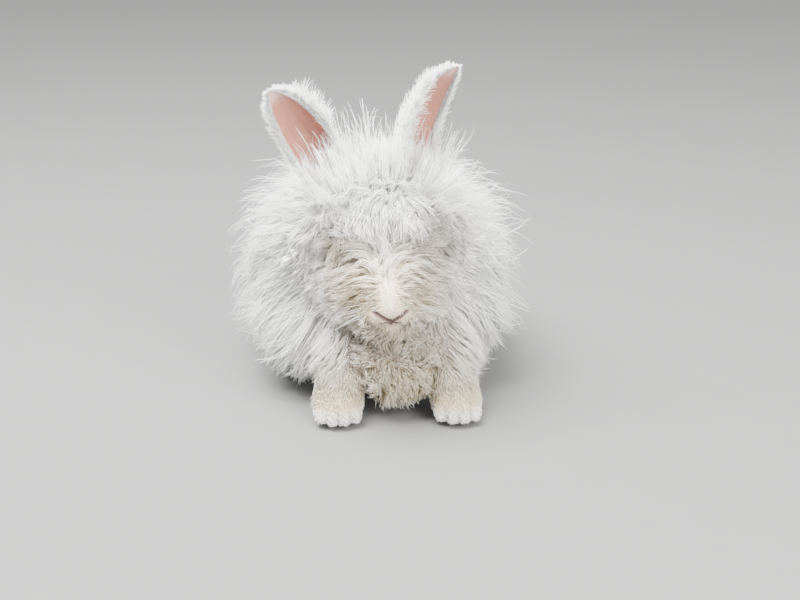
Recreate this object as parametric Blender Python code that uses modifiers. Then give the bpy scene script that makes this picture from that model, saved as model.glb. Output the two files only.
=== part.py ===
"""A white angora rabbit, life size, sitting still on the floor and facing forwards.

Metres, +Z up. The rabbit faces -Y, its own left is +X, and the origin is on the floor under the
middle of its coat. Each named part is one closed solid, and neighbours keep a small gap.
"""

import math
import random

import bmesh
import bpy
from mathutils import Matrix, Vector
from mathutils.bvhtree import BVHTree

# Driving dimensions
NOSE_TIP = Vector((0.0, -0.160, 0.105))
HEAD_PITCH = 39              # degrees that the line from nose to poll rises
HEAD_ROLL = math.radians(-3)  # the crown leans to the rabbit's right
EAR_WIDTH = 0.046            # across the cup, with the fur of its rim
EAR_WALL = 0.0026
EYE_RADIUS = 0.0085
LID_WALL = 0.0016
LID_SLIT = (0.0078, 0.0042)  # half length and half height of the opening between the lids
NOSTRIL = (0.0034, 0.0022, 0.0011)
LIP_HALF = 0.0135            # nose tip to the corner of the mouth, sideways
LIP_GROOVE = 0.0011          # radius of the mouth's line
COAT_DEPTH = 0.046           # wool on the flanks, skin to tips
COAT_SHARE = 0.5             # how far towards the tips the smooth core of the wool reaches
CORE_CLEAR = 0.0006          # how far a part is swollen to cut its neighbour clear of it
CUT_CLEAR = 0.0004           # the room that a lock needs round it
SLIVERS = (2e-5, 1e-5, 5e-6, 2e-6, 1e-6, 1e-7)  # edges this short are closed up, where that can be done
VOXEL = 0.0022               # size of the cells that blend the masses of one part
BODY_VOXEL = 0.0045          # the same for the big soft parts
BODY_SMOOTH = 30             # rounds of smoothing that even them out

# One kind of lock for each part of the coat: how many, their length, width and thickness, how high
# they stand over the core, and how far their direction strays, in degrees
LOCKS = {
    "crown": {"count": 26, "length": 0.034, "width": 0.020, "thick": 0.0030, "height": 0.0110, "stray": 10},
    "cheek": {"count": 26, "length": 0.036, "width": 0.020, "thick": 0.0032, "height": 0.0120, "stray": 10},
    "ruff": {"count": 30, "length": 0.046, "width": 0.027, "thick": 0.0040, "height": 0.0170, "stray": 10},
    "flank": {"count": 80, "length": 0.070, "width": 0.038, "thick": 0.0058, "height": 0.0230, "stray": 10},
    "haunch": {"count": 14, "length": 0.056, "width": 0.033, "thick": 0.0048, "height": 0.0170, "stray": 10},
    "tail": {"count": 6, "length": 0.034, "width": 0.019, "thick": 0.0034, "height": 0.0090, "stray": 10},
    "mat": {"count": 22, "length": 0.020, "width": 0.0145, "thick": 0.0042, "height": 0.0075, "stray": 12},
}
LOCK_TRIES = (1.0, 0.85, 0.7, 0.55)  # the lengths that are tried, where the full one would touch another
LOCK_SHAPE = [  # along the lock: how far, the width, the thickness and the height, as shares of each
    (0.00, 0.80, 1.00, -0.40),
    (0.25, 1.00, 1.00, 0.12),
    (0.52, 0.96, 0.90, 0.45),
    (0.80, 0.62, 0.70, 0.80),
    (1.00, 0.00, 0.00, 1.00),
]
MAT_SHAPE = [
    (0.00, 0.85, 1.00, -0.50),
    (0.30, 1.00, 1.20, 0.10),
    (0.62, 0.98, 1.20, 0.45),
    (0.90, 0.66, 0.90, 0.70),
    (1.00, 0.00, 0.00, 0.70),
]
FRINGE = {"width": 0.0090, "thick": 0.0013, "sink": 0.0022}
EAR_FRINGE = [  # the tufts on an ear's rim: how far up, on which edge, and their length
    (0.30, "inner", 0.012), (0.42, "inner", 0.016), (0.54, "inner", 0.018), (0.66, "inner", 0.019),
    (0.78, "inner", 0.018), (0.90, "inner", 0.016), (0.96, "outer", 0.013), (0.84, "outer", 0.011),
    (0.68, "outer", 0.009), (0.50, "outer", 0.008),
]
SEED = 4                     # of the scatter of the locks
BEND_REACH = 0.012           # how deep in a neighbour a lock may start to be bent out of it
TIP_ROOM = 4                 # how much farther a swollen lock's tip moves than its faces
FLOOR_CLEAR = 0.0015         # the lowest tips hang this far over the floor

# Places that other parts share
RIGHT, LEFT = -1, 1
EAR_ROOT = {RIGHT: Vector((-0.021, -0.096, 0.166)), LEFT: Vector((0.021, -0.096, 0.166))}
EAR_TIP = {RIGHT: Vector((-0.0885, -0.092, 0.264)), LEFT: Vector((0.0585, -0.092, 0.281))}
EYE_PLACE = {side: Vector((side * 0.0230, -0.1185, 0.1400)) for side in (RIGHT, LEFT)}
EYE_TURN = (0.90, -0.42, 0.12)  # where the left eye looks
PAW = {RIGHT: Vector((-0.039, -0.116, 0.0)), LEFT: Vector((0.056, -0.118, 0.0))}
SIDE_NAME = {RIGHT: "right", LEFT: "left"}


def clear_scene():
    """Removes whatever the file holds, so that the script can be run again."""
    for obj in list(bpy.data.objects):
        bpy.data.objects.remove(obj, do_unlink=True)


def collection(name, shown=True):
    """A collection for the parts, or a hidden one for the pieces that joins and cuts use up."""
    made = bpy.data.collections.new(name)
    bpy.context.scene.collection.children.link(made)
    made.hide_render = not shown
    return made


def material(name, colour, roughness):
    """A plain Principled finish."""
    made = bpy.data.materials.new(name)
    made.use_nodes = True
    shader = made.node_tree.nodes["Principled BSDF"]
    shader.inputs["Base Color"].default_value = (*colour, 1.0)
    shader.inputs["Roughness"].default_value = roughness
    shader.inputs["Metallic"].default_value = 0.0
    return made


def finished(obj):
    """The object with its modifiers applied, as one mesh object of the same name."""
    graph = bpy.context.evaluated_depsgraph_get()
    mesh = bpy.data.meshes.new_from_object(obj.evaluated_get(graph))
    obj.modifiers.clear()
    obj.data = mesh
    return obj


def object_of(bm, name, group):
    """A mesh object made from a bmesh."""
    mesh = bpy.data.meshes.new(name)
    bm.to_mesh(mesh)
    bm.free()
    obj = bpy.data.objects.new(name, mesh)
    group.objects.link(obj)
    return obj


def head_pose():
    """Leans the head about its nose tip."""
    return (Matrix.Translation(NOSE_TIP) @ Matrix.Rotation(HEAD_ROLL, 4, "Y")
            @ Matrix.Translation(-NOSE_TIP))


def mass(centre, radii, pitch=0.0, yaw=0.0, coat=(0.0, 0.0, 0.0)):
    """One rounded mass: an ellipsoid turned by pitch about X, then yaw about Z, in degrees.

    Its radii reach the tips of the wool on it, and coat is that wool's share of COAT_DEPTH along each.
    """
    core = Vector(radii) - Vector(coat) * COAT_DEPTH * (1 - COAT_SHARE)
    return {"centre": Vector(centre), "radii": core, "pitch": math.radians(pitch),
            "yaw": math.radians(yaw)}


def both_sides(centre, radii, pitch=0.0, yaw=0.0, coat=(0.0, 0.0, 0.0)):
    """The same mass on the right and on the left."""
    x, y, z = centre
    return [mass((side * x, y, z), radii, pitch, side * yaw, coat) for side in (RIGHT, LEFT)]


def blended(name, masses, group, faces, pose=None, voxel=VOXEL, smooth=6):
    """Ellipsoids run together into one soft closed form of about so many triangles."""
    bm = bmesh.new()
    for m in masses:
        place = (Matrix.Translation(m["centre"]) @ Matrix.Rotation(m["yaw"], 4, "Z")
                 @ Matrix.Rotation(m["pitch"], 4, "X") @ Matrix.Diagonal((*m["radii"], 1.0)))
        bmesh.ops.create_uvsphere(bm, u_segments=32, v_segments=20, radius=1.0,
                                  matrix=(pose or Matrix.Identity(4)) @ place)
    obj = object_of(bm, name, group)
    remesh = obj.modifiers.new("blend", "REMESH")
    remesh.mode = "VOXEL"
    remesh.voxel_size = voxel
    soften = obj.modifiers.new("soften", "SMOOTH")
    soften.factor = 0.5
    soften.iterations = smooth
    finished(obj)
    return thinned(obj, faces / triangle_count(obj))


def thinned(obj, ratio):
    """The object with this share of its triangles, the least needed ones collapsed first."""
    thin = obj.modifiers.new("thin", "DECIMATE")
    thin.ratio = ratio
    return finished(obj)


def triangle_count(obj):
    """How many triangles the object's mesh has."""
    obj.data.calc_loop_triangles()
    return len(obj.data.loop_triangles)


def copy_of(obj, name, group):
    """A second object with its own copy of the mesh."""
    made = bpy.data.objects.new(name, obj.data.copy())
    group.objects.link(made)
    return made


def grown(obj, by, group):
    """A copy of a solid, swollen along its normals: what cuts its neighbour clear of it."""
    made = copy_of(obj, obj.name + "_grown", group)
    push = made.modifiers.new("grow", "DISPLACE")
    push.strength = by
    push.mid_level = 0.0
    return finished(made)


def combine(obj, others, operation, solver="MANIFOLD"):
    """Joins the other solids to obj, or cuts them from it, and removes them."""
    group = collection(obj.name + "_" + operation.lower(), shown=False)
    for other in others:
        for home in list(other.users_collection):
            home.objects.unlink(other)
        group.objects.link(other)
        other.hide_render = True
    bpy.context.view_layer.update()
    join = obj.modifiers.new(operation.lower(), "BOOLEAN")
    join.operation = operation
    join.solver = solver
    join.operand_type = "COLLECTION"
    join.collection = group
    finished(obj)
    for other in list(group.objects):
        bpy.data.objects.remove(other, do_unlink=True)
    bpy.data.collections.remove(group)
    return obj


def shells_of(bm):
    """The closed surfaces of a bmesh, as lists of faces, smallest volume first."""
    unseen = set(bm.faces)
    shells = []
    while unseen:
        shell = [unseen.pop()]
        edge = list(shell)
        while edge:
            for side in edge.pop().edges:
                for near in side.link_faces if len(side.link_faces) == 2 else ():
                    if near in unseen:
                        unseen.remove(near)
                        shell.append(near)
                        edge.append(near)
        shells.append(shell)

    def volume(shell):
        corners = [[v.co for v in face.verts] for face in shell]
        return sum(a.dot(b.cross(c)) for a, b, c in corners)

    return sorted(shells, key=volume)


def is_closed(bm):
    """Whether every edge lies between exactly two faces."""
    return all(len(edge.link_faces) == 2 for edge in bm.edges)


def keep_largest(obj):
    """Closes up slivers and keeps only the closed surface with the largest volume."""
    for sliver in SLIVERS:
        bm = bmesh.new()
        bm.from_mesh(obj.data)
        bmesh.ops.triangulate(bm, faces=bm.faces)
        bmesh.ops.dissolve_degenerate(bm, dist=sliver, edges=bm.edges)
        bmesh.ops.triangulate(bm, faces=bm.faces)
        loose = [face for shell in shells_of(bm)[:-1] for face in shell]
        bmesh.ops.delete(bm, geom=loose, context="FACES")
        if is_closed(bm):
            break
    bm.to_mesh(obj.data)
    bm.free()
    return obj


def stand_on_floor(obj, sink):
    """Cuts off what is under the floor, after sinking the solid by a little, so that it rests on a flat."""
    bm = bmesh.new()
    bm.from_mesh(obj.data)
    bmesh.ops.translate(bm, verts=bm.verts, vec=(0, 0, -sink))
    cut = bmesh.ops.bisect_plane(bm, geom=bm.verts[:] + bm.edges[:] + bm.faces[:], dist=1e-6,
                                 plane_co=(0, 0, 0), plane_no=(0, 0, 1), clear_inner=True)
    rim = [e for e in cut["geom_cut"] if isinstance(e, bmesh.types.BMEdge)]
    bmesh.ops.holes_fill(bm, edges=rim)
    bmesh.ops.triangulate(bm, faces=bm.faces)
    bm.to_mesh(obj.data)
    bm.free()
    return obj


def surface_points(core, count, rng):
    """Points spread over a surface by area, each with its face's normal."""
    mesh = core.data
    mesh.calc_loop_triangles()
    faces = [[mesh.vertices[i].co for i in face.vertices] for face in mesh.loop_triangles]
    areas = [(b - a).cross(c - a).length for a, b, c in faces]
    points = []
    for a, b, c in rng.choices(faces, weights=areas, k=count):
        u, v = sorted((rng.random(), rng.random()))
        points.append((a * u + b * (v - u) + c * (1 - v), (b - a).cross(c - a).normalized()))
    return points


def lock_shape_of(spine, ups, widths, thicks, swell=0.0):
    """Corners and faces of a flat, tapered, closed lock.

    It is a low triangle at each point of the spine, ridge outwards, and one tip. With swell, every face
    is moved out by that much: the room that the lock needs.
    """
    corners, faces = [], [(2, 1, 0)]
    last = len(spine) - 1
    for i in range(last):
        along = (spine[i + 1] - spine[max(i - 1, 0)]).normalized()
        side = along.cross(ups[i]).normalized()
        up = side.cross(along)
        slope = math.atan2(thicks[i], widths[i] / 2)
        half = widths[i] / 2 + swell * (1 + math.cos(slope)) / math.sin(slope)
        ridge = thicks[i] + swell / math.cos(slope)
        corners += [spine[i] + side * half - up * swell, spine[i] + up * ridge,
                    spine[i] - side * half - up * swell]
        for k in range(3):
            a, b = 3 * i + k, 3 * i + (k + 1) % 3
            if i < last - 1:
                faces += [(a, b, b + 3), (a, b + 3, a + 3)]
            else:
                faces.append((a, b, 3 * last))
    end = (spine[last] - spine[last - 1]).normalized() * swell * TIP_ROOM
    corners.append(spine[last] + end)
    return corners, faces


def lock_of(name, corners, faces, group):
    """The lock as a closed mesh object."""
    bm = bmesh.new()
    made = [bm.verts.new(corner) for corner in corners]
    for face in faces:
        bm.faces.new([made[i] for i in face])
    bmesh.ops.recalc_face_normals(bm, faces=bm.faces)
    return object_of(bm, name, group)


def bent_clear(place, trees, clear):
    """The place, moved out to a distance of at least clear from each of the closed surfaces."""
    for tree in trees:
        near, normal, _, distance = tree.find_nearest(place)
        depth = (place - near).dot(normal)
        if distance < BEND_REACH and depth < clear:
            place = place + normal * (clear - depth)
    return place


def run_of_lock(size, root, normal, shape, lie, tree, others, shorter, rng):
    """The spine, outward directions, widths and thicknesses of one lock from its root along its core."""
    big = rng.uniform(0.88, 1.12) * shorter
    stray = math.radians(rng.uniform(-1, 1) * size["stray"])
    wave = math.radians(rng.uniform(-1, 1) * size["stray"])
    foot, before = root, 0.0
    spine, ups, widths, thicks = [], [], [], []
    for along, wide, thick, high in shape:
        flow = lie(foot)
        flow = (flow - normal * flow.dot(normal)).normalized()
        flow.rotate(Matrix.Rotation(stray + wave * math.sin(math.pi * 2 * along), 3, normal))
        foot = foot + flow * size["length"] * big * (along - before)
        foot, normal, _, _ = tree.find_nearest(foot)
        place = foot + normal * size["height"] * high
        spine.append(bent_clear(place, others, CUT_CLEAR * 2) if high > 0 else place)
        ups.append(normal.copy())
        widths.append(size["width"] * wide * math.sqrt(big))
        thicks.append(size["thick"] * thick)
        before = along
    return spine, ups, widths, thicks


def grow_locks(kind, core, keep, lie, others, taken, group, shape):
    """Locks of one kind on a core, lying along it the way lie(point) says.

    They are layered like shingles, each rising from its root to its tip. A new root is the farthest of
    several picks from those before it. A lock that would touch another lock or part is made shorter,
    or left out where that doesn't help either.
    """
    size = LOCKS[kind]
    rng = random.Random(f"{kind} {core.name} {SEED}")
    tree = tree_of(core)
    pool = [pick for pick in surface_points(core, 1500, rng) if keep(*pick)]
    roots, made = [], []
    for _ in range(size["count"] * 8):
        trial = rng.sample(pool, min(len(pool), 30))
        root, normal = max(trial, key=lambda pick: min([(pick[0] - old).length for old in roots] + [1.0]))
        roots.append(root)
        for shorter in LOCK_TRIES:
            run = run_of_lock(size, root, normal, shape, lie, tree, others, shorter, rng)
            corners, faces = lock_shape_of(*run, CUT_CLEAR)
            room = BVHTree.FromPolygons(corners, faces)
            high_enough = min(corner.z for corner in corners) > FLOOR_CLEAR
            if high_enough and not any(room.overlap(other) for other in others + taken):
                made.append(lock_of(kind, *lock_shape_of(*run), group))
                taken.append(tree_of(made[-1]))
                break
        if len(made) == size["count"]:
            break
    return made


def fringe_of(rim, axis, others, taken, group):
    """Thin tufts out of an ear's rim, bent towards its tip and a little down at their ends."""
    made = []
    for corner, away, thin, length in rim:
        spine = [corner - away * FRINGE["sink"]]
        for share in (0.3, 0.65, 1.0):
            droop = Vector((0, 0, -0.18 * share ** 2))
            spine.append(corner + (away * 0.8 * share + axis * 0.55 * share + droop) * length)
        widths = [FRINGE["width"] * share for share in (0.9, 1.0, 0.65, 0.0)]
        thicks = [FRINGE["thick"] * share for share in (1.0, 1.0, 0.8, 0.0)]
        run = spine, [thin] * 4, widths, thicks
        room = BVHTree.FromPolygons(*lock_shape_of(*run, CUT_CLEAR))
        if not any(room.overlap(other) for other in others + taken):
            made.append(lock_of("fringe", *lock_shape_of(*run), group))
            taken.append(tree_of(made[-1]))
    return made


def tree_of(obj):
    """A search tree over the object's faces."""
    bm = bmesh.new()
    bm.from_mesh(obj.data)
    tree = BVHTree.FromBMesh(bm)
    bm.free()
    return tree


def side_of(point):
    """-1 on the rabbit's right, 1 on its left, and between them near the middle."""
    return max(-1.0, min(1.0, point.x / 0.02))


def crown_lie(point):
    """Forwards over the forehead, backwards behind the ears, and out to both sides."""
    return Vector((0.75 * side_of(point), -0.7 if point.y < -0.093 else 0.5, -0.25))


def cheek_lie(point):
    """Back, out and down."""
    return Vector((0.45 * side_of(point), 0.25, -0.8))


def ruff_lie(point):
    """Out from the neck all round, and down."""
    return Vector((0.9 * side_of(point), 0.1, -0.6))


def body_lie(point):
    """From the middle of the back to the sides, backwards and down."""
    return Vector((0.35 * side_of(point), 0.40, -0.75))


def hanging_lie(point):
    """Straight down, with a little spread."""
    return Vector((0.15 * side_of(point), -0.1, -1.0))


def bent_tube(name, points, radius, group):
    """A round closed tube along the points, thinner towards both ends."""
    sides = 4
    bm = bmesh.new()
    rings = []
    for i, point in enumerate(points):
        along = (points[min(i + 1, len(points) - 1)] - points[max(i - 1, 0)]).normalized()
        across = along.cross(Vector((0, 0, 1))).normalized()
        up = across.cross(along)
        wide = radius * (0.55 + 0.45 * math.sin(math.pi * i / (len(points) - 1)))
        turns = [2 * math.pi * k / sides for k in range(sides)]
        rings.append([bm.verts.new(point + wide * (across * math.cos(a) + up * math.sin(a))) for a in turns])
    for lower, upper in zip(rings, rings[1:]):
        for k in range(sides):
            bm.faces.new((lower[k], lower[(k + 1) % sides], upper[(k + 1) % sides], upper[k]))
    bm.faces.new(reversed(rings[0]))
    bm.faces.new(rings[-1])
    bmesh.ops.recalc_face_normals(bm, faces=bm.faces)
    return object_of(bm, name, group)


def ellipsoid(name, centre, radii, turn, group):
    """A round cutter, turned by a rotation matrix about its centre."""
    bm = bmesh.new()
    bmesh.ops.create_uvsphere(bm, u_segments=8, v_segments=6, radius=1.0,
                              matrix=Matrix.Translation(centre) @ turn @ Matrix.Diagonal((*radii, 1.0)))
    return object_of(bm, name, group)


def face_cutters(group):
    """The openings between the lids, the nostrils and the line of the mouth."""
    pose = head_pose()
    made = []
    for side in (RIGHT, LEFT):
        out = Vector((side * EYE_TURN[0], *EYE_TURN[1:])).normalized()
        turn = pose.to_3x3() @ out.to_track_quat("X", "Z").to_matrix()
        slit = (LID_WALL * 3, *LID_SLIT)
        centre = pose @ (EYE_PLACE[side] + out * (EYE_RADIUS + LID_WALL * 0.5))
        made.append(ellipsoid("slit", centre, slit, turn.to_4x4(), group))
        slope = Matrix.Rotation(math.radians(side * 38), 4, "Y")
        place = pose @ (NOSE_TIP + Vector((side * 0.0052, -0.0004, 0.0022)))
        made.append(ellipsoid("nostril", place, NOSTRIL, slope, group))
        line = []
        for t in (0.0, 0.25, 0.5, 0.75, 1.0):
            sag = 0.0028 * math.sin(math.pi * t)
            line.append(pose @ Vector((side * LIP_HALF * t, -0.1602 + 0.019 * t ** 1.6, 0.0968 - sag)))
        made.append(bent_tube("lip_line", line, LIP_GROOVE, group))
    cleft = [Vector((0, -0.1622, 0.1035 - 0.0022 * k)) for k in range(4)]
    made.append(bent_tube("cleft", [pose @ p for p in cleft], LIP_GROOVE, group))
    return made


def head_masses():
    """Skull, face, muzzle, lids, cheeks and jaw, and the wool on the crown, the cheeks and the throat."""
    lid = EYE_RADIUS + LID_WALL
    return [
        mass((0, -0.108, 0.147), (0.0290, 0.036, 0.027), pitch=HEAD_PITCH),
        mass((0, -0.129, 0.131), (0.0235, 0.038, 0.0215), pitch=HEAD_PITCH),
        mass((0, -0.1450, 0.1130), (0.0180, 0.0215, 0.0150), pitch=HEAD_PITCH),
        *both_sides((0.0085, -0.1510, 0.1015), (0.0110, 0.0110, 0.0100)),
        mass((0, -0.1370, 0.0930), (0.0120, 0.0180, 0.0110), pitch=20),
        mass((0, -0.1260, 0.1010), (0.0200, 0.028, 0.0180), pitch=HEAD_PITCH),
        *both_sides((0.0190, -0.1180, 0.1180), (0.0180, 0.028, 0.024), pitch=HEAD_PITCH),
        *both_sides(EYE_PLACE[LEFT], (lid, lid, lid)),
        mass((0, -0.0920, 0.1660), (0.0540, 0.0330, 0.0330), coat=(0.4, 0.4, 0.4)),
        mass((0, -0.1120, 0.1620), (0.0300, 0.0260, 0.0200), pitch=HEAD_PITCH, coat=(0.2, 0.2, 0.1)),
        *both_sides((0.0300, -0.0920, 0.1180), (0.0400, 0.0300, 0.0440), coat=(0.6, 0.5, 0.5)),
        mass((0, -0.1080, 0.0940), (0.0400, 0.0300, 0.0240), coat=(0.5, 0.4, 0.3)),
    ]


def neck_masses():
    """The short neck inside its ruff."""
    return [
        mass((0, -0.0620, 0.1320), (0.1000, 0.0370, 0.0660), coat=(1.0, 0.3, 0.6)),
        *both_sides((0.0400, -0.0600, 0.1320), (0.0660, 0.0340, 0.0560), coat=(1.0, 0.3, 0.6)),
    ]


def chest_masses():
    """The bib of matted wool that hangs between the forelegs."""
    return [
        mass((0.0100, -0.1120, 0.0560), (0.0400, 0.0230, 0.0220), coat=(0.3, 0.3, 0.3)),
        mass((0.0085, -0.1140, 0.0380), (0.0300, 0.0200, 0.0240), coat=(0.3, 0.3, 0.3)),
    ]


def torso_masses():
    """Rib cage, loin and rump inside their wool."""
    return [
        mass((0, 0.0200, 0.1010), (0.1120, 0.1300, 0.0920), coat=(1.0, 0.6, 0.9)),
        *both_sides((0.0360, -0.0100, 0.1120), (0.0860, 0.0860, 0.0760), coat=(1.0, 0.6, 0.8)),
        *both_sides((0.0360, -0.0100, 0.0740), (0.0860, 0.0860, 0.0700), coat=(1.0, 0.6, 0.6)),
        *both_sides((0.0300, 0.0700, 0.0960), (0.0860, 0.0860, 0.0800), coat=(1.0, 0.8, 0.8)),
    ]


def make_ear(side, group):
    """A scoop: a strip of arcs, wide open in the middle and rolled into a tube at the root, made solid."""
    rows, columns = 11, 7
    root, tip = head_pose() @ EAR_ROOT[side], EAR_TIP[side]
    axis = (tip - root).normalized()
    faces_out = {RIGHT: 0.10, LEFT: 0.85}[side]
    front = Vector((side * faces_out, -1.0, 0.0))
    front = (front - axis * front.dot(axis)).normalized()
    across = axis.cross(front)
    length = (tip - root).length
    bm = bmesh.new()
    grid = []
    for i in range(rows + 1):
        t = 1 - (1 - i / rows) ** 1.5
        along = root + axis * length * (t - 0.02)
        rounded = math.sqrt(max(0.0, 1 - (max(0.0, t - 0.68) / 0.32) ** 2))
        half = max(EAR_WIDTH / 2 * math.sin(math.pi * (0.15 + 0.45 * t)) ** 0.7 * rounded, 0.003)
        opening = math.radians(115 - 60 * t)
        bend = math.radians(8) * math.sin(math.pi * t) * length
        row = []
        for j in range(columns + 1):
            angle = opening * (2 * j / columns - 1)
            radius = half / max(math.sin(min(opening, math.pi / 2)), 0.5)
            point = along + across * radius * math.sin(angle) - front * radius * (math.cos(angle) - 0.3)
            point -= front * bend
            row.append(bm.verts.new(point))
        grid.append(row)
    for lower, upper in zip(grid, grid[1:]):
        for j in range(columns):
            bm.faces.new((lower[j], lower[j + 1], upper[j + 1], upper[j]))
    edges = {"inner": (columns, columns - 1), "outer": (0, 1)}
    if side == LEFT:
        edges = {"inner": (0, 1), "outer": (columns, columns - 1)}
    rim = []
    for share, edge, tuft in EAR_FRINGE:
        row = [vert.co.copy() for vert in grid[round(share * rows)]]
        corner, inside = (row[column] for column in edges[edge])
        thin = (corner - row[columns // 2]).cross(axis).normalized()
        rim.append((corner, (corner - inside).normalized(), thin, tuft))
    bmesh.ops.recalc_face_normals(bm, faces=bm.faces)
    ear = object_of(bm, "ear_" + SIDE_NAME[side], group)
    wall = ear.modifiers.new("wall", "SOLIDIFY")
    wall.thickness = EAR_WALL
    wall.offset = 0.0
    wall.use_even_offset = False
    return finished(ear), rim, axis


def make_eye(side, group):
    """An eyeball."""
    bm = bmesh.new()
    centre = head_pose() @ EYE_PLACE[side]
    bmesh.ops.create_uvsphere(bm, u_segments=14, v_segments=9, radius=EYE_RADIUS,
                              matrix=Matrix.Translation(centre) @ Matrix.Rotation(math.pi / 2, 4, "Y"))
    return object_of(bm, "eye_" + SIDE_NAME[side], group)


def make_front_leg(side, group):
    """Forearm, paw and toes, standing on the floor under the shoulder."""
    paw = PAW[side]
    x, y = paw.x, paw.y
    inward = -0.012 * side
    masses = [mass((x, y - 0.002, 0.0160), (0.0200, 0.0235, 0.0175))]
    for k in range(1, 9):
        rise = k / 8
        masses.append(mass((x + inward * rise, y + 0.032 * rise, 0.0180 + 0.050 * rise),
                           (0.0195 + 0.0015 * rise, 0.0190 + 0.0020 * rise, 0.0190)))
    for k in range(4):
        spread = (k - 1.5) / 1.5
        masses.append(mass((x + 0.0125 * spread, y - 0.0185 + 0.004 * spread ** 2, 0.0085),
                           (0.0056, 0.0085, 0.0078)))
    leg = blended("front_leg_" + SIDE_NAME[side], masses, group, 480, voxel=0.0016, smooth=3)
    return stand_on_floor(leg, 0.0012)


def make_hind_leg(side, group):
    """Haunch, hock and the long foot, flat on the floor."""
    masses = [
        mass((side * 0.0640, 0.0560, 0.0640), (0.0570, 0.0700, 0.0620), pitch=-12, coat=(0.7, 0.5, 0.5)),
        mass((side * 0.0640, 0.020, 0.0135), (0.0150, 0.052, 0.0145), yaw=4),
        mass((side * 0.0625, 0.066, 0.020), (0.0150, 0.020, 0.0210)),
    ]
    for k in range(4):
        spread = (k - 1.5) / 1.5
        masses.append(mass((side * 0.0605 + 0.0098 * spread, -0.030 + 0.003 * spread ** 2, 0.0085),
                           (0.0050, 0.0100, 0.0075)))
    leg = blended("hind_leg_" + SIDE_NAME[side], masses, group, 400, voxel=0.0020, smooth=3)
    return stand_on_floor(leg, 0.0012)


def build():
    """Makes every part in order, each cut clear of those before it."""
    clear_scene()
    shop = collection("workshop", shown=False)
    rabbit = collection("angora_rabbit")
    wool_white = material("wool_white", (0.86, 0.85, 0.82), 0.85)
    ear_pink = material("ear_pink", (0.80, 0.52, 0.47), 0.60)
    eye_ruby = material("eye_ruby", (0.30, 0.05, 0.06), 0.12)

    eyes = [make_eye(side, shop) for side in (RIGHT, LEFT)]
    head = blended("head", head_masses(), shop, 1150, pose=head_pose(), smooth=8)
    combine(head, face_cutters(shop), "DIFFERENCE")
    keep_largest(head)
    ears, rims = [], {}
    for side in (RIGHT, LEFT):
        ear, *rims[side] = make_ear(side, shop)
        ears.append(ear)
    front_legs = [make_front_leg(side, shop) for side in (RIGHT, LEFT)]
    hind_legs = [make_hind_leg(side, shop) for side in (RIGHT, LEFT)]
    neck = blended("neck", neck_masses(), shop, 240, voxel=BODY_VOXEL, smooth=BODY_SMOOTH)
    chest = blended("chest", chest_masses(), shop, 200)
    tail = blended("tail", [mass((0, 0.134, 0.070), (0.024, 0.030, 0.034), coat=(0.3, 0.3, 0.3))], shop, 120)
    torso = blended("torso", torso_masses(), shop, 560, voxel=BODY_VOXEL, smooth=BODY_SMOOTH)
    order = eyes + [torso, neck, head] + ears + front_legs + hind_legs + [tail, chest]
    clearances = {
        "neck": [torso],
        "head": eyes + [torso, neck],
        "ear_right": [head, neck], "ear_left": [head, neck],
        "front_leg_right": [torso, neck, head], "front_leg_left": [torso, neck, head],
        "hind_leg_right": [torso], "hind_leg_left": [torso],
        "tail": [torso] + hind_legs,
        "chest": [torso, neck, head] + front_legs,
    }
    for part in order:
        cutters = [grown(other, CORE_CLEAR, shop) for other in clearances.get(part.name, [])]
        if cutters:
            combine(part, cutters, "DIFFERENCE")
        keep_largest(part)

    taken = {part.name: [tree_of(part)] for part in order}
    eye_places = [head_pose() @ place for place in EYE_PLACE.values()]

    def others(name):
        return [tree for owner, trees in taken.items() if owner != name for tree in trees]

    def on_crown(point, normal):
        return point.z > 0.150 and point.y > -0.122 and normal.z > -0.2

    def on_cheek(point, normal):
        open_eye = all((point - place).length > 0.016 for place in eye_places)
        return point.z < 0.150 and -0.118 < point.y < -0.070 and open_eye

    def on_body(point, normal):
        return normal.z > -0.80 and point.z > 0.012

    def on_mat(point, normal):
        return normal.y < 0.3 and point.z > 0.018

    kinds = [
        (head, "crown", on_crown, crown_lie, LOCK_SHAPE),
        (head, "cheek", on_cheek, cheek_lie, LOCK_SHAPE),
        (neck, "ruff", on_body, ruff_lie, LOCK_SHAPE),
        (tail, "tail", on_body, body_lie, LOCK_SHAPE),
        (hind_legs[0], "haunch", on_body, body_lie, LOCK_SHAPE),
        (hind_legs[1], "haunch", on_body, body_lie, LOCK_SHAPE),
        (torso, "flank", on_body, body_lie, LOCK_SHAPE),
        (chest, "mat", on_mat, hanging_lie, MAT_SHAPE),
    ]
    locks = {part.name: [] for part in order}
    for part, kind, keep, lie, shape in kinds:
        own = taken[part.name][1:]
        grown_on = grow_locks(kind, part, keep, lie, others(part.name), own, shop, shape)
        locks[part.name] += grown_on
        taken[part.name] += own[len(taken[part.name]) - 1:]
    for ear, side in zip(ears, (RIGHT, LEFT)):
        locks[ear.name] = fringe_of(*rims[side], others(ear.name), [], shop)
    for part in order:
        if locks[part.name]:
            combine(part, locks[part.name], "UNION")
            keep_largest(part)
    for part in order:
        shop.objects.unlink(part)
        rabbit.objects.link(part)
        part.data.materials.clear()
        kind = eye_ruby if part in eyes else ear_pink if part in ears else wool_white
        part.data.materials.append(kind)
        part.data.shade_smooth()
    for piece in list(shop.objects):
        bpy.data.objects.remove(piece, do_unlink=True)


build()
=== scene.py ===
# %% [markdown]
# # A white angora rabbit
#
# The real animal is a small body inside a ball of wool. The wool hides nearly all of its shape, so
# two forms matter here: the skin, which is where every hair starts, and the outline of the coat,
# which is where the hairs end. Both are built from the same few rounded masses as the solids are,
# so that the picture and the solids agree.
#
# The imported model comes in first, and its box is kept, so that the wool can be held near it.

import math

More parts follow.
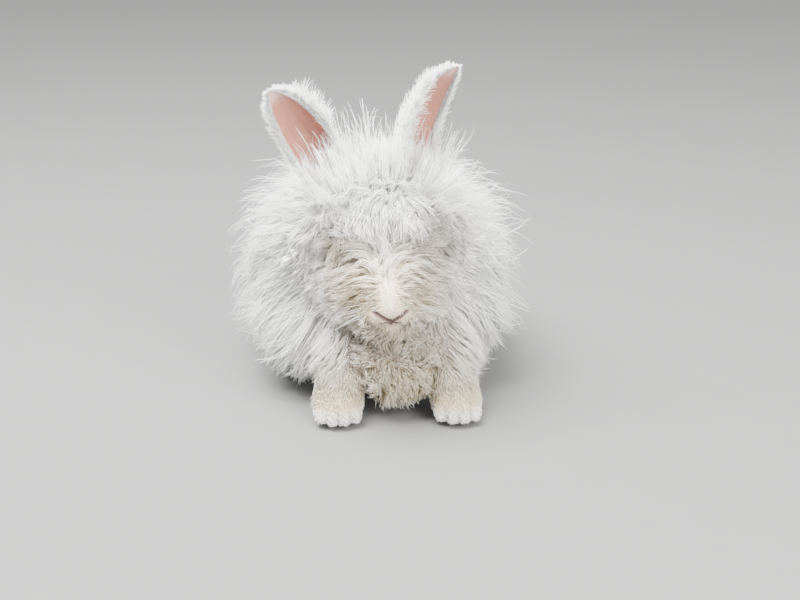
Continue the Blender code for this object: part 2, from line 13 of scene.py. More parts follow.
import bpy
import numpy as np
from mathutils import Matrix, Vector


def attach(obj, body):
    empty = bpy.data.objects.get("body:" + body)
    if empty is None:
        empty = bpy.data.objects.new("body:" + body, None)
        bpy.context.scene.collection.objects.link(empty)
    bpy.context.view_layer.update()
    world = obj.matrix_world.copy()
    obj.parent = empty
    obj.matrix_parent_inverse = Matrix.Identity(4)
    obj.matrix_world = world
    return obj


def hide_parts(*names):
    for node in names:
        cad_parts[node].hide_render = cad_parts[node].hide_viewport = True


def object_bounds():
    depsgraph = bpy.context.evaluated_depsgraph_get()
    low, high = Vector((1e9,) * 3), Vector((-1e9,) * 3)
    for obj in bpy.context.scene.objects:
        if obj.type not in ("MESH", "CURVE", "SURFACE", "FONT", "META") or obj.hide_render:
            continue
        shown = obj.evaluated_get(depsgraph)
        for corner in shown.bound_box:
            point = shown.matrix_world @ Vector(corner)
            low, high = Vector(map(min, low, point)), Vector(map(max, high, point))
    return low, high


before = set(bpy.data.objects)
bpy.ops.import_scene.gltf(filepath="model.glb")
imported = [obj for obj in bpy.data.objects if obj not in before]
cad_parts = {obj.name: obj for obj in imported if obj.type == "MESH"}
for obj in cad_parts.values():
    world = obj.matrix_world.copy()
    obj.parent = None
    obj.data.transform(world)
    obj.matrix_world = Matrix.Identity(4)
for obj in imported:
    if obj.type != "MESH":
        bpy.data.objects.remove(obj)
CAD_BOX = [list(map(float, corner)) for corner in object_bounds()]
print("packed nodes:", sorted(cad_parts))
print("packed box:", CAD_BOX)

# %% [markdown]
# ## Sizes
#
# Lengths are in metres. The rabbit faces -Y, its own left is +X, and +Z is up. The numbers are the
# ones that the solids use, so each piece goes where its solid is.

# %% Sizes that the pieces share
NOSE = np.array([0.0, -0.160, 0.105])
HEAD_AXIS = np.array([0.0, 0.777, 0.629])   # from the nose to the poll
HEAD_PITCH = 39.0                           # degrees that this line rises
HEAD_ROLL = -3.0                            # degrees that the crown leans to the rabbit's right
COAT_DEPTH = 0.046                          # wool on the flanks, from the skin to the tips
FACE_FUR = 0.0012                           # how far the skin of the face lies under its short fur
LEG_FUR = 0.0026                            # and the skin of the legs
EYE_RADIUS = 0.0085
LID_WALL = 0.0016
EYES = {-1: np.array([-0.0230, -0.1185, 0.1400]), 1: np.array([0.0230, -0.1185, 0.1400])}
EYE_TURN = np.array([0.90, -0.42, 0.12])    # where the left eye looks
LID_SLIT = np.array([0.0052, 0.0078, 0.0022])   # half the slit between the lids: depth, length, height
PAWS = {-1: (-0.039, -0.116), 1: (0.056, -0.118)}
EAR_ROOTS = {-1: np.array([-0.021, -0.096, 0.166]), 1: np.array([0.021, -0.096, 0.166])}
EAR_TIPS = {-1: np.array([-0.0885, -0.092, 0.264]), 1: np.array([0.0585, -0.092, 0.281])}
EAR_TURN = {-1: 0.10, 1: 0.85}              # how far each ear's opening looks outwards
EAR_WIDTH = 0.046
SIDE_NAME = {-1: "right", 1: "left"}


def unit(vectors):
    """Each vector divided by its own length."""
    return vectors / np.maximum(np.linalg.norm(vectors, axis=-1, keepdims=True), 1e-12)


def turn_about(axis, degrees):
    """The matrix that turns a point by an angle about the X, Y or Z axis."""
    c, s = np.cos(np.radians(degrees)), np.sin(np.radians(degrees))
    return {"X": np.array([[1, 0, 0], [0, c, -s], [0, s, c]]),
            "Y": np.array([[c, 0, s], [0, 1, 0], [-s, 0, c]]),
            "Z": np.array([[c, -s, 0], [s, c, 0], [0, 0, 1]])}[axis]


def posed(points):
    """Points of the head, leaned about the nose by the head's roll."""
    return (np.asarray(points, float) - NOSE) @ turn_about("Y", HEAD_ROLL).T + NOSE


def ramp(values, start, end):
    """0 before start, 1 after end, and a smooth curve between: 3 t squared minus 2 t cubed."""
    t = np.clip((values - start) / (end - start), 0.0, 1.0)
    return t * t * (3.0 - 2.0 * t)


def hump(values, middle, wide):
    """1 at the middle, and falling to 0 on both sides: exp(-((value - middle) / wide) squared)."""
    return np.exp(-((values - middle) / wide) ** 2)


print("eye to eye:", 2 * EYES[1][0], "m")

# %% [markdown]
# ## The body as a field of distances
#
# A soft body has no flat sides to start from. It could be sculpted, or blended from balls by a
# remesh, but then nothing in it can be asked "how far is the skin from here?". The coat needs that
# answer at every step of every hair. So the body is a function: the distance to a few ellipsoids,
# run together smoothly. Where it is zero, there is the skin.

# %% Distance to rounded masses
BALL = 0.010   # the radius of a ball to try the distance on


def mass(centre, radii, pitch=0.0, yaw=0.0, coat=(0.0, 0.0, 0.0)):
    """One ellipsoid: its centre, its radii out to the coat's tips, its turn, and its wool's share."""
    return centre, radii, turn_about("Z", yaw) @ turn_about("X", pitch), coat


def both(centre, radii, pitch=0.0, yaw=0.0, coat=(0.0, 0.0, 0.0)):
    """The same mass on the right and on the left."""
    x, y, z = centre
    return [mass((side * x, y, z), radii, pitch, side * yaw, coat) for side in (-1, 1)]


class Blend:
    """Masses run together into one soft form, with its skin (coat off) or its outline (coat on)."""

    def __init__(self, masses, soft, inset=0.0, coat_on=False, lean=False):
        """Keeps the radii less the coat and the inset, and leans the masses when they are the head's."""
        centres = np.array([m[0] for m in masses], float)
        bare = np.array([m[3] for m in masses]) * COAT_DEPTH
        self.radii = np.array([m[1] for m in masses], float) - (0.0 if coat_on else bare + inset)
        self.turns = np.array([m[2] for m in masses])
        if lean:
            centres = posed(centres)
            self.turns = turn_about("Y", HEAD_ROLL) @ self.turns
        self.centres = centres
        self.soft = soft

    def distance(self, points):
        """Smooth minimum of the ellipsoids' distances.

        With q the point in units of the radii, one distance is |q| (|q| - 1) / |q / radii|. The smooth
        minimum is -s log(sum(exp(-distance / s))), where s says how softly the masses run together.
        """
        total = np.zeros(len(points))
        for centre, radii, turn in zip(self.centres, self.radii, self.turns):
            local = (points - centre) @ turn
            q = np.linalg.norm(local / radii, axis=1)
            slope = np.linalg.norm(local / radii ** 2, axis=1)
            away = q * (q - 1.0) / np.maximum(slope, 1e-9)
            total += np.exp(np.clip(-away / self.soft, -60.0, 60.0))
        return -self.soft * np.log(total + 1e-30)


def smooth_min(a, b, soft):
    """The lower of two distances, with their corner rounded."""
    low = np.minimum(a, b)
    return low - soft * np.log(np.exp(-(a - low) / soft) + np.exp(-(b - low) / soft))


ball = Blend([mass((0, 0, 0), (BALL, BALL, BALL))], 0.001, coat_on=True)
print("2 cm from a 1 cm ball's middle, the ball is off by", ball.distance(np.array([[0.02, 0.0, 0.0]])))

# %% [markdown]
# ## The rounded masses
#
# The masses follow the animal: a wedge of a face with cheeks and round lids, a crown, a trunk like a
# loaf with haunches, and a short tail. Each has its radii out to the tips of the coat, and its share
# of the coat's depth that comes off for the skin. One table gives both forms, so they can't drift
# apart, as they would if the skin and the outline were modelled one after the other.

# %% Masses of the head, the trunk and the bib
LID = EYE_RADIUS + LID_WALL
HEAD = [
    mass((0, -0.108, 0.147), (0.0290, 0.036, 0.027), HEAD_PITCH),
    mass((0, -0.129, 0.131), (0.0235, 0.038, 0.0215), HEAD_PITCH),
    mass((0, -0.1450, 0.1130), (0.0180, 0.0215, 0.0150), HEAD_PITCH),
    *both((0.0085, -0.1510, 0.1015), (0.0110, 0.0110, 0.0100)),
    mass((0, -0.1370, 0.0930), (0.0120, 0.0180, 0.0110), 20),
    mass((0, -0.1260, 0.1010), (0.0200, 0.028, 0.0180), HEAD_PITCH),
    *both((0.0190, -0.1180, 0.1180), (0.0180, 0.028, 0.024), HEAD_PITCH),
    *both(EYES[1], (LID, LID, LID)),
]
CROWN = [
    mass((0, -0.0920, 0.1660), (0.0540, 0.0330, 0.0330), coat=(0.4, 0.4, 0.4)),
    mass((0, -0.1120, 0.1620), (0.0300, 0.0260, 0.0200), HEAD_PITCH, coat=(0.2, 0.2, 0.1)),
    *both((0.0300, -0.0920, 0.1180), (0.0400, 0.0300, 0.0440), coat=(0.6, 0.5, 0.5)),
    mass((0, -0.1080, 0.0940), (0.0400, 0.0300, 0.0240), coat=(0.5, 0.4, 0.3)),
]
BODY = [
    mass((0, -0.0620, 0.1320), (0.1000, 0.0370, 0.0660), coat=(1.0, 0.3, 0.6)),
    *both((0.0400, -0.0600, 0.1320), (0.0660, 0.0340, 0.0560), coat=(1.0, 0.3, 0.6)),
    mass((0, 0.0200, 0.1010), (0.1120, 0.1300, 0.0920), coat=(1.0, 0.6, 0.9)),
    *both((0.0360, -0.0100, 0.1120), (0.0860, 0.0860, 0.0760), coat=(1.0, 0.6, 0.8)),
    *both((0.0360, -0.0100, 0.0740), (0.0860, 0.0860, 0.0700), coat=(1.0, 0.6, 0.6)),
    *both((0.0300, 0.0700, 0.0960), (0.0860, 0.0860, 0.0800), coat=(1.0, 0.8, 0.8)),
    *both((0.0640, 0.0560, 0.0640), (0.0570, 0.0700, 0.0620), -12, coat=(0.7, 0.5, 0.5)),
    mass((0, 0.134, 0.070), (0.024, 0.030, 0.034), coat=(0.3, 0.3, 0.3)),
    mass((0, 0.116, 0.080), (0.036, 0.042, 0.040), coat=(0.1, 0.3, 0.2)),
]
BIB = [
    mass((0.0100, -0.1120, 0.0560), (0.0400, 0.0230, 0.0220), coat=(0.15, 0.12, 0.12)),
    mass((0.0085, -0.1140, 0.0380), (0.0300, 0.0200, 0.0240), coat=(0.15, 0.12, 0.12)),
]
face_field = Blend(HEAD, 0.0022, inset=FACE_FUR, lean=True)
crown_field = Blend(CROWN, 0.0050, lean=True)
body_field = Blend(BODY + BIB, 0.0090)
face_outline = Blend(HEAD, 0.0022, coat_on=True, lean=True)
crown_outline = Blend(CROWN, 0.0050, coat_on=True, lean=True)
body_outline = Blend(BODY + BIB, 0.0060, coat_on=True)
print("masses:", len(HEAD), "head,", len(CROWN), "crown,", len(BODY), "body")

# %% [markdown]
# ## Nostrils, lips and lids
#
# What is cut into the face is a field too: thin bent lines for the nostrils and the lips, and a narrow
# lens for the slit between the lids. Painted lines would do from far away, but close up the openings
# need depth, and the fur has to know where to stop.

# %% What is cut into the face
def segments_distance(points, line, radius):
    """Distance to a bent line of this radius: the nearest spot on each of its straight pieces."""
    best = np.full(len(points), 1.0)
    for a, b in zip(line, line[1:]):
        along = np.clip((points - a) @ (b - a) / ((b - a) @ (b - a)), 0.0, 1.0)
        best = np.minimum(best, np.linalg.norm(points - a - along[:, None] * (b - a), axis=1))
    return best - radius


def onto_face(across, upwards):
    """Points of the face's skin at these places, seen from the front.

    Each starts in front of the nose and goes back by its own distance from the skin, over and over.
    """
    points = np.stack([across, -0.175 + 0 * across, upwards], axis=1)
    for _ in range(60):
        points[:, 1] += 0.7 * np.clip(face_field.distance(points), 0, 0.01)
    return points


def mouth_lines():
    """The nostrils' slits, the cleft and the lips, as bent lines with their radii.

    A rabbit's nostrils are two slits that meet under the nose and rise outwards like a V. The lips
    run back from the same place, a little lower, and sag between their ends.
    """
    t = np.linspace(0, 1, 9)
    lines = []
    for side in (-1, 1):
        slit = onto_face(0.0012 + side * 0.0125 * t, 0.0972 + 0.0078 * t ** 1.15)
        lip = onto_face(0.0012 + side * 0.0070 * t, 0.0958 - 0.0010 * t)
        lines += [(slit, 0.00105), (lip, 0.00075)]
    down = np.linspace(0, 1, 4)
    return lines + [(onto_face(0.0012 + 0 * down, 0.0985 - 0.0050 * down), 0.00080)]


MOUTH = mouth_lines()


def look_of(side):
    """Where an eye looks: to its own side and a little forwards."""
    return unit(np.array([side * EYE_TURN[0], EYE_TURN[1], EYE_TURN[2]]) @ turn_about("Y", HEAD_ROLL).T)


def openings(points):
    """Distance to what is cut into the face: nostrils, lips, and the slits between the lids."""
    cut = np.full(len(points), 1.0)
    for line, radius in MOUTH:
        cut = smooth_min(cut, segments_distance(points, line, radius), 0.0003)
    for side in (-1, 1):
        look = look_of(side)
        long_way = unit(np.cross([0.0, 0.0, 1.0], look))
        high_way = np.cross(look, long_way)
        away = points - posed(EYES[side]) - look * (EYE_RADIUS + LID_WALL * 0.5)
        local = np.stack([away @ look, away @ long_way, away @ high_way], axis=1)
        slit = (np.linalg.norm(local / LID_SLIT, axis=1) - 1.0) * LID_SLIT[2]
        cut = np.minimum(cut, slit)
    return cut


print("right nostril ends at", MOUTH[0][0][-1].round(4).tolist())

# %% [markdown]
# ## Skin and outline
#
# The skin is all the masses less their wool, with the openings cut in. The outline is the same masses
# with their wool, and the forelegs with their fur. The way in which the outline's distance grows
# fastest says which way is outwards for a hair that already stands in the air.

# %% Skin, outline and slope
def skin_field(points):
    """Distance to the skin of the whole body, with the openings of the face cut in."""
    head = smooth_min(face_field.distance(points), crown_field.distance(points), 0.0030)
    whole = smooth_min(head, body_field.distance(points), 0.0060)
    face = points[:, 1] < -0.100
    whole[face] = -smooth_min(-whole[face], openings(points[face]), 0.0005)
    return whole


def foreleg_masses(side):
    """Paw, four toes, and the forearm as a row of masses that leans back under the shoulder."""
    x, y = PAWS[side]
    inward = -0.012 * side
    rise = np.arange(1, 9) / 8
    spread = (np.arange(4) - 1.5) / 1.5
    toes = [mass((x + 0.0135 * s, y - 0.0190 + 0.005 * s * s, 0.0095), (0.0064, 0.0088, 0.0082))
            for s in spread]
    return [mass((x, y - 0.002, 0.0155), (0.0205, 0.0225, 0.0165)), *toes,
            *[mass((x + inward * r, y + 0.032 * r, 0.0180 + 0.050 * r),
                   (0.0185 - 0.0010 * r, 0.0185 + 0.0020 * r, 0.0190)) for r in rise]]


leg_outline = Blend(foreleg_masses(-1) + foreleg_masses(1), 0.0030, coat_on=True)


def outline_field(points):
    """Distance to the tips of the coat."""
    head = smooth_min(face_outline.distance(points), crown_outline.distance(points), 0.0030)
    body = smooth_min(body_outline.distance(points), leg_outline.distance(points), 0.0030)
    return smooth_min(head, body, 0.0060)


def slope_of(field, points, step=0.0008):
    """The direction in which a field grows fastest, from four nearby samples."""
    corners = np.array([[1, -1, -1], [-1, -1, 1], [-1, 1, -1], [1, 1, 1]], float)
    return unit(sum(corner * field(points + corner * step)[:, None] for corner in corners))


flank = np.array([[0.112, 0.020, 0.101]])
print("under the flank's outline the skin lies", round(float(skin_field(flank)[0]), 3), "m deep")

# %% [markdown]
# ## One skin from nose to tail
#
# The skin is one surface of two parameters: how far along the body, and how far round it. At each
# place on a line from the muzzle to the rump, rays fan out, and each stops where the field turns
# positive. At both ends the rays tip over until they point straight on, like the ribs of a dome, so
# the surface closes in a pole. The legs are made the same way along lines of their own.

# %% Rays along a line
def line_through(stops, count):
    """A smooth line through the stops: each coordinate interpolated by length, then averaged."""
    stops = np.array(stops, float)
    far = np.concatenate([[0], np.cumsum(np.linalg.norm(np.diff(stops, axis=0), axis=1))])
    fine = np.linspace(0, far[-1], 400)
    path = np.stack([np.interp(fine, far, stops[:, k]) for k in range(3)], axis=1)
    for _ in range(400):
        path[1:-1] = (path[:-2] + 2 * path[1:-1] + path[2:]) / 4
    pick = np.linspace(0, 399, count)
    return np.stack([np.interp(pick, np.arange(400), path[:, k]) for k in range(3)], axis=1)


def swept_skin(stops, field, rows, columns, caps, reach):
    """Points of a closed skin, rows along the line and columns round it.

    A row is a point of the line and a tilt. The tilt is 90 degrees along the line, so that the rays
    stand square to it, and runs to 0 and 180 at the ends. The ray's length is found by halving.
    """
    line = line_through(stops, rows)
    along = unit(np.gradient(line, axis=0))
    first, last = caps
    tilt = np.concatenate([np.linspace(0.03, 0.5, first, endpoint=False), np.full(rows, 0.5),
                           np.linspace(0.5, 0.97, last + 1)[1:]]) * np.pi
    spot = np.concatenate([np.zeros(first, int), np.arange(rows), np.full(last, rows - 1)])
    origin, ahead = line[spot], along[spot]
    side = np.zeros_like(ahead) + [1.0, 0.0, 0.0]
    side = unit(side - ahead * np.sum(side * ahead, axis=1, keepdims=True))
    up = np.cross(side, ahead)
    turn = np.arange(columns) / columns * 2 * np.pi
    around = (np.cos(turn)[None, :, None] * up[:, None] + np.sin(turn)[None, :, None] * side[:, None])
    ray = (np.sin(tilt)[:, None, None] * around - np.cos(tilt)[:, None, None] * ahead[:, None])
    origins = np.repeat(origin[:, None], columns, axis=1).reshape(-1, 3)
    rays = ray.reshape(-1, 3)
    low, high = np.zeros(len(rays)), np.full(len(rays), reach)
    inside = np.arange(len(rays))
    for far in np.linspace(0.0, reach, 60)[1:]:
        outside = field(origins[inside] + rays[inside] * far) > 0
        high[inside[outside]] = far
        inside = inside[~outside]
        low[inside] = far
    for _ in range(9):
        middle = (low + high) / 2
        outside = field(origins + rays * middle[:, None]) > 0
        high = np.where(outside, middle, high)
        low = np.where(outside, low, middle)
    return (origins + rays * high[:, None]).reshape(len(spot), columns, 3)


print("a bent line:", line_through([(0, 0, 0), (0, 1, 0), (0, 2, 1)], 3).round(2).tolist())

# %% [markdown]
# ## From a grid to a closed surface
#
# A sweep gives a grid of points, with rows along the body and columns round it. Its faces wrap round
# the columns and close in a fan at each end. Its normals come from the grid's own two slopes, because
# the roots of the wool need them before there is any mesh.

# %% Normals and faces of a grid
def grid_normals(grid):
    """Outward directions on a grid: the cross product of its two slopes, wrapped round the columns."""
    down = np.gradient(grid, axis=0)
    round_it = np.roll(grid, -1, axis=1) - np.roll(grid, 1, axis=1)
    return unit(np.cross(down, round_it))


def closed_grid_faces(rows, columns, first):
    """Faces of a grid that wraps round its columns, with a fan to one point at each end."""
    index = np.arange(rows * columns).reshape(rows, columns) + first
    beside = np.roll(index, -1, axis=1)
    quads = np.stack([index[:-1], beside[:-1], beside[1:], index[1:]], axis=-1).reshape(-1, 4)
    start = np.full(columns, first + rows * columns)
    ends = [np.stack([start, beside[0], index[0]], axis=1),
            np.stack([start + 1, index[-1], beside[-1]], axis=1)]
    return quads, np.concatenate(ends)


SPINE = [(0, -0.1410, 0.1120), (0, -0.1240, 0.1270), (0, -0.1040, 0.1400), (0, -0.0800, 0.1400),
         (0, -0.0500, 0.1260), (0, -0.0100, 0.1080), (0, 0.0400, 0.1000), (0, 0.0900, 0.0900)]
body_grid = swept_skin(SPINE, skin_field, 200, 230, (64, 40), 0.11)
print("body skin:", body_grid.shape[0], "rows of", body_grid.shape[1])

# %% [markdown]
# ## The legs
#
# Only the forelegs show, standing in front of the wool. Each is a sweep like the body's, along a
# line that starts inside the paw and climbs to the elbow. What would go under the floor is pressed
# flat, as a soft paw is. The hind feet lie long and flat under the haunches. The matted bib between
# the forelegs is felted so hard that it has a surface of its own, so it's swept here as well.

# %% Skin of the four legs and of the bib
LEG_SOFT = 0.0026                           # how softly the toes run into the foot


def hind_foot_masses(side):
    """The long foot, the hock and four toes."""
    spread = (np.arange(4) - 1.5) / 1.5
    return [mass((side * 0.0640, 0.020, 0.0135), (0.0150, 0.052, 0.0145), yaw=4),
            mass((side * 0.0625, 0.066, 0.020), (0.0150, 0.020, 0.0210)),
            *[mass((side * 0.0605 + 0.0098 * s, -0.030 + 0.003 * s * s, 0.0085), (0.0050, 0.0100, 0.0075))
              for s in spread]]


def leg_skin(masses, line, sizes):
    """The swept skin of one leg, with its sole pressed flat on the floor."""
    field = Blend(masses, LEG_SOFT, inset=LEG_FUR)
    grid = swept_skin(line, field.distance, sizes[0], sizes[1], (34, 14), 0.05)
    grid[..., 2] = np.maximum(grid[..., 2], 0.0006)
    return grid


leg_grids = {}
for side in (-1, 1):
    x, y = PAWS[side]
    line = [(x, y - 0.010, 0.013), (x, y + 0.004, 0.020), (x - 0.006 * side, y + 0.018, 0.040),
            (x - 0.012 * side, y + 0.030, 0.064)]
    leg_grids["front_leg_" + SIDE_NAME[side]] = leg_skin(foreleg_masses(side), line, (50, 80))
    line = [(side * 0.0605, -0.024, 0.011), (side * 0.063, 0.02, 0.013), (side * 0.0625, 0.066, 0.02)]
    leg_grids["hind_leg_" + SIDE_NAME[side]] = leg_skin(hind_foot_masses(side), line, (30, 44))
felt = [(0.0100, -0.1120, 0.0660), (0.0095, -0.1120, 0.0520), (0.0085, -0.1135, 0.0300)]
bib_grid = swept_skin(felt, Blend(BIB, 0.0060).distance, 30, 64, (20, 20), 0.06)
print("legs:", {name: grid.shape[:2] for name, grid in leg_grids.items()}, "bib:", bib_grid.shape[:2])

# %% [markdown]
# ## The ears
#
# An ear is a scoop: an arc that is rolled nearly shut at its root, opens in the middle and runs out
# in a round tip. A flat sheet with Solidify would give it a wall, but the bare pink inside and the
# furred back need to be told apart, so both faces are one loop of columns: out over the back, round
# the rim, and back along the inside.

# %% Skin of the ears
EAR_WALL = 0.0016


def ear_axis(side):
    """The root of an ear on the leaning head, its direction, its front and its sideways direction."""
    root = posed(EAR_ROOTS[side])
    axis = unit(EAR_TIPS[side] - root)
    front = np.array([side * EAR_TURN[side], -1.0, 0.0])
    front = unit(front - axis * (front @ axis))
    return root, axis, front, np.cross(axis, front)


def ear_sheet(side, t, s):
    """Points of the ear's middle sheet: t runs from root to tip, s from -1 to 1 across the cup.

    The arc opens less towards the tip. Its half width is a power of a sine of t, drawn in to a blunt
    point past the middle, and its radius is that half width over the sine of the arc's angle.
    """
    root, axis, front, across = ear_axis(side)
    length = np.linalg.norm(EAR_TIPS[side] - root)
    drawn = np.clip(1 - (np.clip(t - 0.42, 0, None) / 0.58) ** 2.2, 0, 1) ** 0.62
    half = np.maximum((EAR_WIDTH / 2 - 0.0040) * np.sin(np.pi * (0.20 + 0.45 * t)) ** 0.7 * drawn, 0.0012)
    opening = np.radians(115 - 60 * t)
    radius = half / np.maximum(np.sin(np.minimum(opening, np.pi / 2)), 0.5)
    angle = opening * s
    bend = np.radians(8) * np.sin(np.pi * t) * length
    ripple = 0.0011 * np.sin(9 * t + 2.0 * s + side) * np.abs(s) ** 3
    return (root + axis * (length * (t - 0.02))[..., None] + across * (radius * np.sin(angle))[..., None]
            - front * (radius * (np.cos(angle) - 0.3) + bend + ripple)[..., None])


def ear_grid(side, rows=110, columns=64):
    """The closed ear: its back and its inside as one loop of columns, half the wall off the sheet."""
    t = 1 - (1 - np.linspace(0.0, 0.985, rows)) ** 1.35
    s = np.concatenate([np.linspace(-1, 1, columns // 2), np.linspace(1, -1, columns // 2)])
    grid_t, grid_s = np.meshgrid(t, s, indexing="ij")
    step = 0.004
    slope_t = ear_sheet(side, grid_t + step, grid_s) - ear_sheet(side, grid_t - step, grid_s)
    slope_s = ear_sheet(side, grid_t, grid_s + step) - ear_sheet(side, grid_t, grid_s - step)
    out = unit(np.cross(slope_s, slope_t))
    back = np.where(np.arange(columns) < columns // 2, 1.0, -1.0)
    if np.mean(np.sum(out[:, columns // 4] * ear_axis(side)[2], axis=-1)) > 0:
        out = -out
    wall = EAR_WALL * (1 - 0.5 * np.abs(grid_s) ** 4) / 2
    return ear_sheet(side, grid_t, grid_s) + out * (wall * back)[..., None], grid_t, grid_s


ear_grids = {side: ear_grid(side) for side in (-1, 1)}
print("ear tips at", [ear_grids[side][0][-1].mean(axis=0).round(3).tolist() for side in (-1, 1)])

# %% [markdown]
# ## Markings
#
# A white rabbit isn't one white. The face is stained cream and tan, tears and mud have greyed the
# hollows round the eyes and the mat under the chin, and the feet are yellowed. Each mark is a soft
# spot with a place, a size and a colour, worked out from a point's own place. Skin and wool ask the
# same function, so the marks agree.

# %% Marks on the coat
WOOL_WHITE = (0.91, 0.908, 0.895)
CREAM = np.array([0.68, 0.50, 0.20])
DIRT = np.array([0.045, 0.022, 0.012])
PAW_YELLOW = np.array([0.43, 0.32, 0.14])
TOE_GAPS = (-0.0090, 0.0, 0.0090)

# Each mark has a place, a size, a colour and a strength
MARKS = [
    ((-0.028, -0.146, 0.106), 0.0130, (0.44, 0.26, 0.055), 0.78),
    ((-0.022, -0.140, 0.122), 0.0120, (0.56, 0.36, 0.10), 0.65),
    ((-0.012, -0.150, 0.112), 0.0050, (0.46, 0.32, 0.13), 0.60),
    ((0.028, -0.142, 0.108), 0.0135, (0.54, 0.37, 0.14), 0.65),
    ((0.008, -0.142, 0.140), 0.0070, (0.50, 0.32, 0.09), 0.70),
    ((0.0145, -0.150, 0.119), 0.0038, (0.34, 0.19, 0.06), 0.80),
    ((0.018, -0.138, 0.133), 0.0055, (0.42, 0.26, 0.08), 0.65),
    ((-0.042, -0.124, 0.142), 0.0125, (0.23, 0.15, 0.04), 0.90),
    ((-0.034, -0.132, 0.150), 0.0065, (0.20, 0.12, 0.03), 0.80),
    ((0.036, -0.126, 0.150), 0.0130, (0.22, 0.15, 0.07), 0.94),
    ((0.050, -0.118, 0.138), 0.0125, (0.17, 0.125, 0.08), 0.94),
    ((0.025, -0.138, 0.151), 0.0026, (0.05, 0.02, 0.01), 0.95),
    ((0.000, -0.152, 0.086), 0.0110, (0.50, 0.40, 0.28), 0.75),
    ((0.000, -0.135, 0.078), 0.0200, (0.48, 0.35, 0.19), 0.70),
    ((-0.016, -0.138, 0.056), 0.0210, (0.40, 0.27, 0.115), 0.85),
    ((0.036, -0.138, 0.056), 0.0230, (0.42, 0.29, 0.14), 0.85),
    ((0.008, -0.132, 0.032), 0.0200, (0.46, 0.31, 0.12), 0.80),
]
print("marks:", len(MARKS))

# %% [markdown]
# ## From marks to a colour
#
# Each mark pulls the colour towards its own, most of all at its middle. The marks are mixed in one
# after another, so where two overlap the colour stays between theirs, while a plain sum of their
# darkening would run to black.

# %% Colour at a place
def marked(points):
    """The coat's colour at each place: white, moved towards each mark's colour near that mark.

    A mark's share is its strength times exp(-distance squared over twice its size squared), with the
    distance forwards counted half, because a stain soaks in. The blaze on the bridge of the nose stays
    paler. Specks of dirt hang in the bib, where three crossing waves all peak, and the front paws turn
    yellow above the toes. Thin lines of painted shade darken the creases between the front toes.
    """
    colour = np.zeros((len(points), 3)) + WOOL_WHITE
    cream = 0.85 * np.exp(-(((points - [0.001, -0.140, 0.110]) / [0.052, 0.050, 0.032]) ** 2).sum(axis=1))
    blaze = hump(points[:, 0], -0.001, 0.0055) * ramp(points[:, 2], 0.104, 0.112)
    cream *= 1 - 0.42 * blaze
    colour += cream[:, None] * (CREAM - colour)
    for place, size, tint, strength in MARKS:
        away = (((points - place) * [1.0, 0.5, 1.0]) ** 2).sum(axis=1)
        share = strength * np.exp(-away / (2 * size ** 2)) * (1 - 0.55 * blaze)
        colour += share[:, None] * (np.array(tint) - colour)
    waves = np.sin(points @ [730.0, 310.0, 240.0]) * np.sin(points @ [-260.0, 540.0, 690.0] + 1) * np.sin(
        points @ [410.0, -480.0, 560.0] + 2)
    bib = np.exp(-(((points - [0.010, -0.130, 0.054]) / [0.042, 0.030, 0.022]) ** 2).sum(axis=1))
    specks = 0.95 * ramp(np.abs(waves), 0.32, 0.42) * ramp(bib, 0.15, 0.45)
    colour += specks[:, None] * (DIRT - colour)
    front = ramp(-points[:, 1], 0.085, 0.105)
    feet = 0.92 * (1 - ramp(points[:, 2], 0.020, 0.062)) * ramp(points[:, 2], 0.004, 0.020) * front
    colour += feet[:, None] * (PAW_YELLOW - colour)
    # Painted shade in the creases between the front toes: thin dark lines low on the paws.
    for x, y in PAWS.values():
        low = (1 - ramp(points[:, 2], 0.010, 0.019)) * ramp(y - 0.010 - points[:, 1], 0.0, 0.006)
        for gap in TOE_GAPS:
            toe_crease_shade = 0.45 * low * hump(points[:, 0] - x, gap, 0.0011)
            colour *= 1 - toe_crease_shade[:, None]
    return colour


print("forehead:", marked(np.array([[0.0, -0.13, 0.16]])).round(2).tolist())

# %% [markdown]
# ## From arrays to meshes
#
# Every piece is made by one function. It takes points, faces, a colour for each point and, for a
# coat, a place on the unwrapped skin. Whole arrays go into the mesh at once, which takes a second
# where a loop over a million corners would take minutes.

# %% Making a mesh piece
def piece_of(name, points, triangles, quads=None, colour=None, unwrap=None, unwrap_name="OFBake"):
    """A mesh object from arrays, smooth shaded, with its colour attribute and its unwrap."""
    quads = np.zeros((0, 4), int) if quads is None else quads
    corners = np.concatenate([quads.reshape(-1), triangles.reshape(-1)]).astype(np.int32)
    sizes = np.concatenate([np.full(len(quads), 4), np.full(len(triangles), 3)])
    mesh = bpy.data.meshes.new(name)
    mesh.vertices.add(len(points))
    mesh.vertices.foreach_set("co", np.asarray(points, np.float32).reshape(-1))
    mesh.loops.add(len(corners))
    mesh.loops.foreach_set("vertex_index", corners)
    mesh.polygons.add(len(sizes))
    mesh.polygons.foreach_set("loop_start", np.concatenate([[0], np.cumsum(sizes)[:-1]]).astype(np.int32))
    mesh.update(calc_edges=True)
    mesh.validate()
    mesh.polygons.foreach_set("use_smooth", np.ones(len(mesh.polygons), bool))
    if colour is not None:
        tint = mesh.color_attributes.new("Mark", "FLOAT_COLOR", "POINT")
        rgba = np.concatenate([np.clip(colour, 0, 1), np.ones((len(colour), 1))], axis=1)
        tint.data.foreach_set("color", rgba.astype(np.float32).reshape(-1))
    if unwrap is not None:
        layer = mesh.uv_layers.new(name=unwrap_name)
        layer.data.foreach_set("uv", np.asarray(unwrap, np.float32)[corners].reshape(-1))
    made = bpy.data.objects.new(name, mesh)
    bpy.context.scene.collection.objects.link(made)
    return made


print("corners get their colour from an attribute called Mark")

# %% [markdown]
# ## Closed skins and their unwrap
#
# Each grid is already a rectangle, so it unwraps onto one with no seam to be drawn: how far round it
# across, and how far along it upwards. The rectangles of all parts lie side by side on one square, and
# a strand of wool later takes the place of its root.

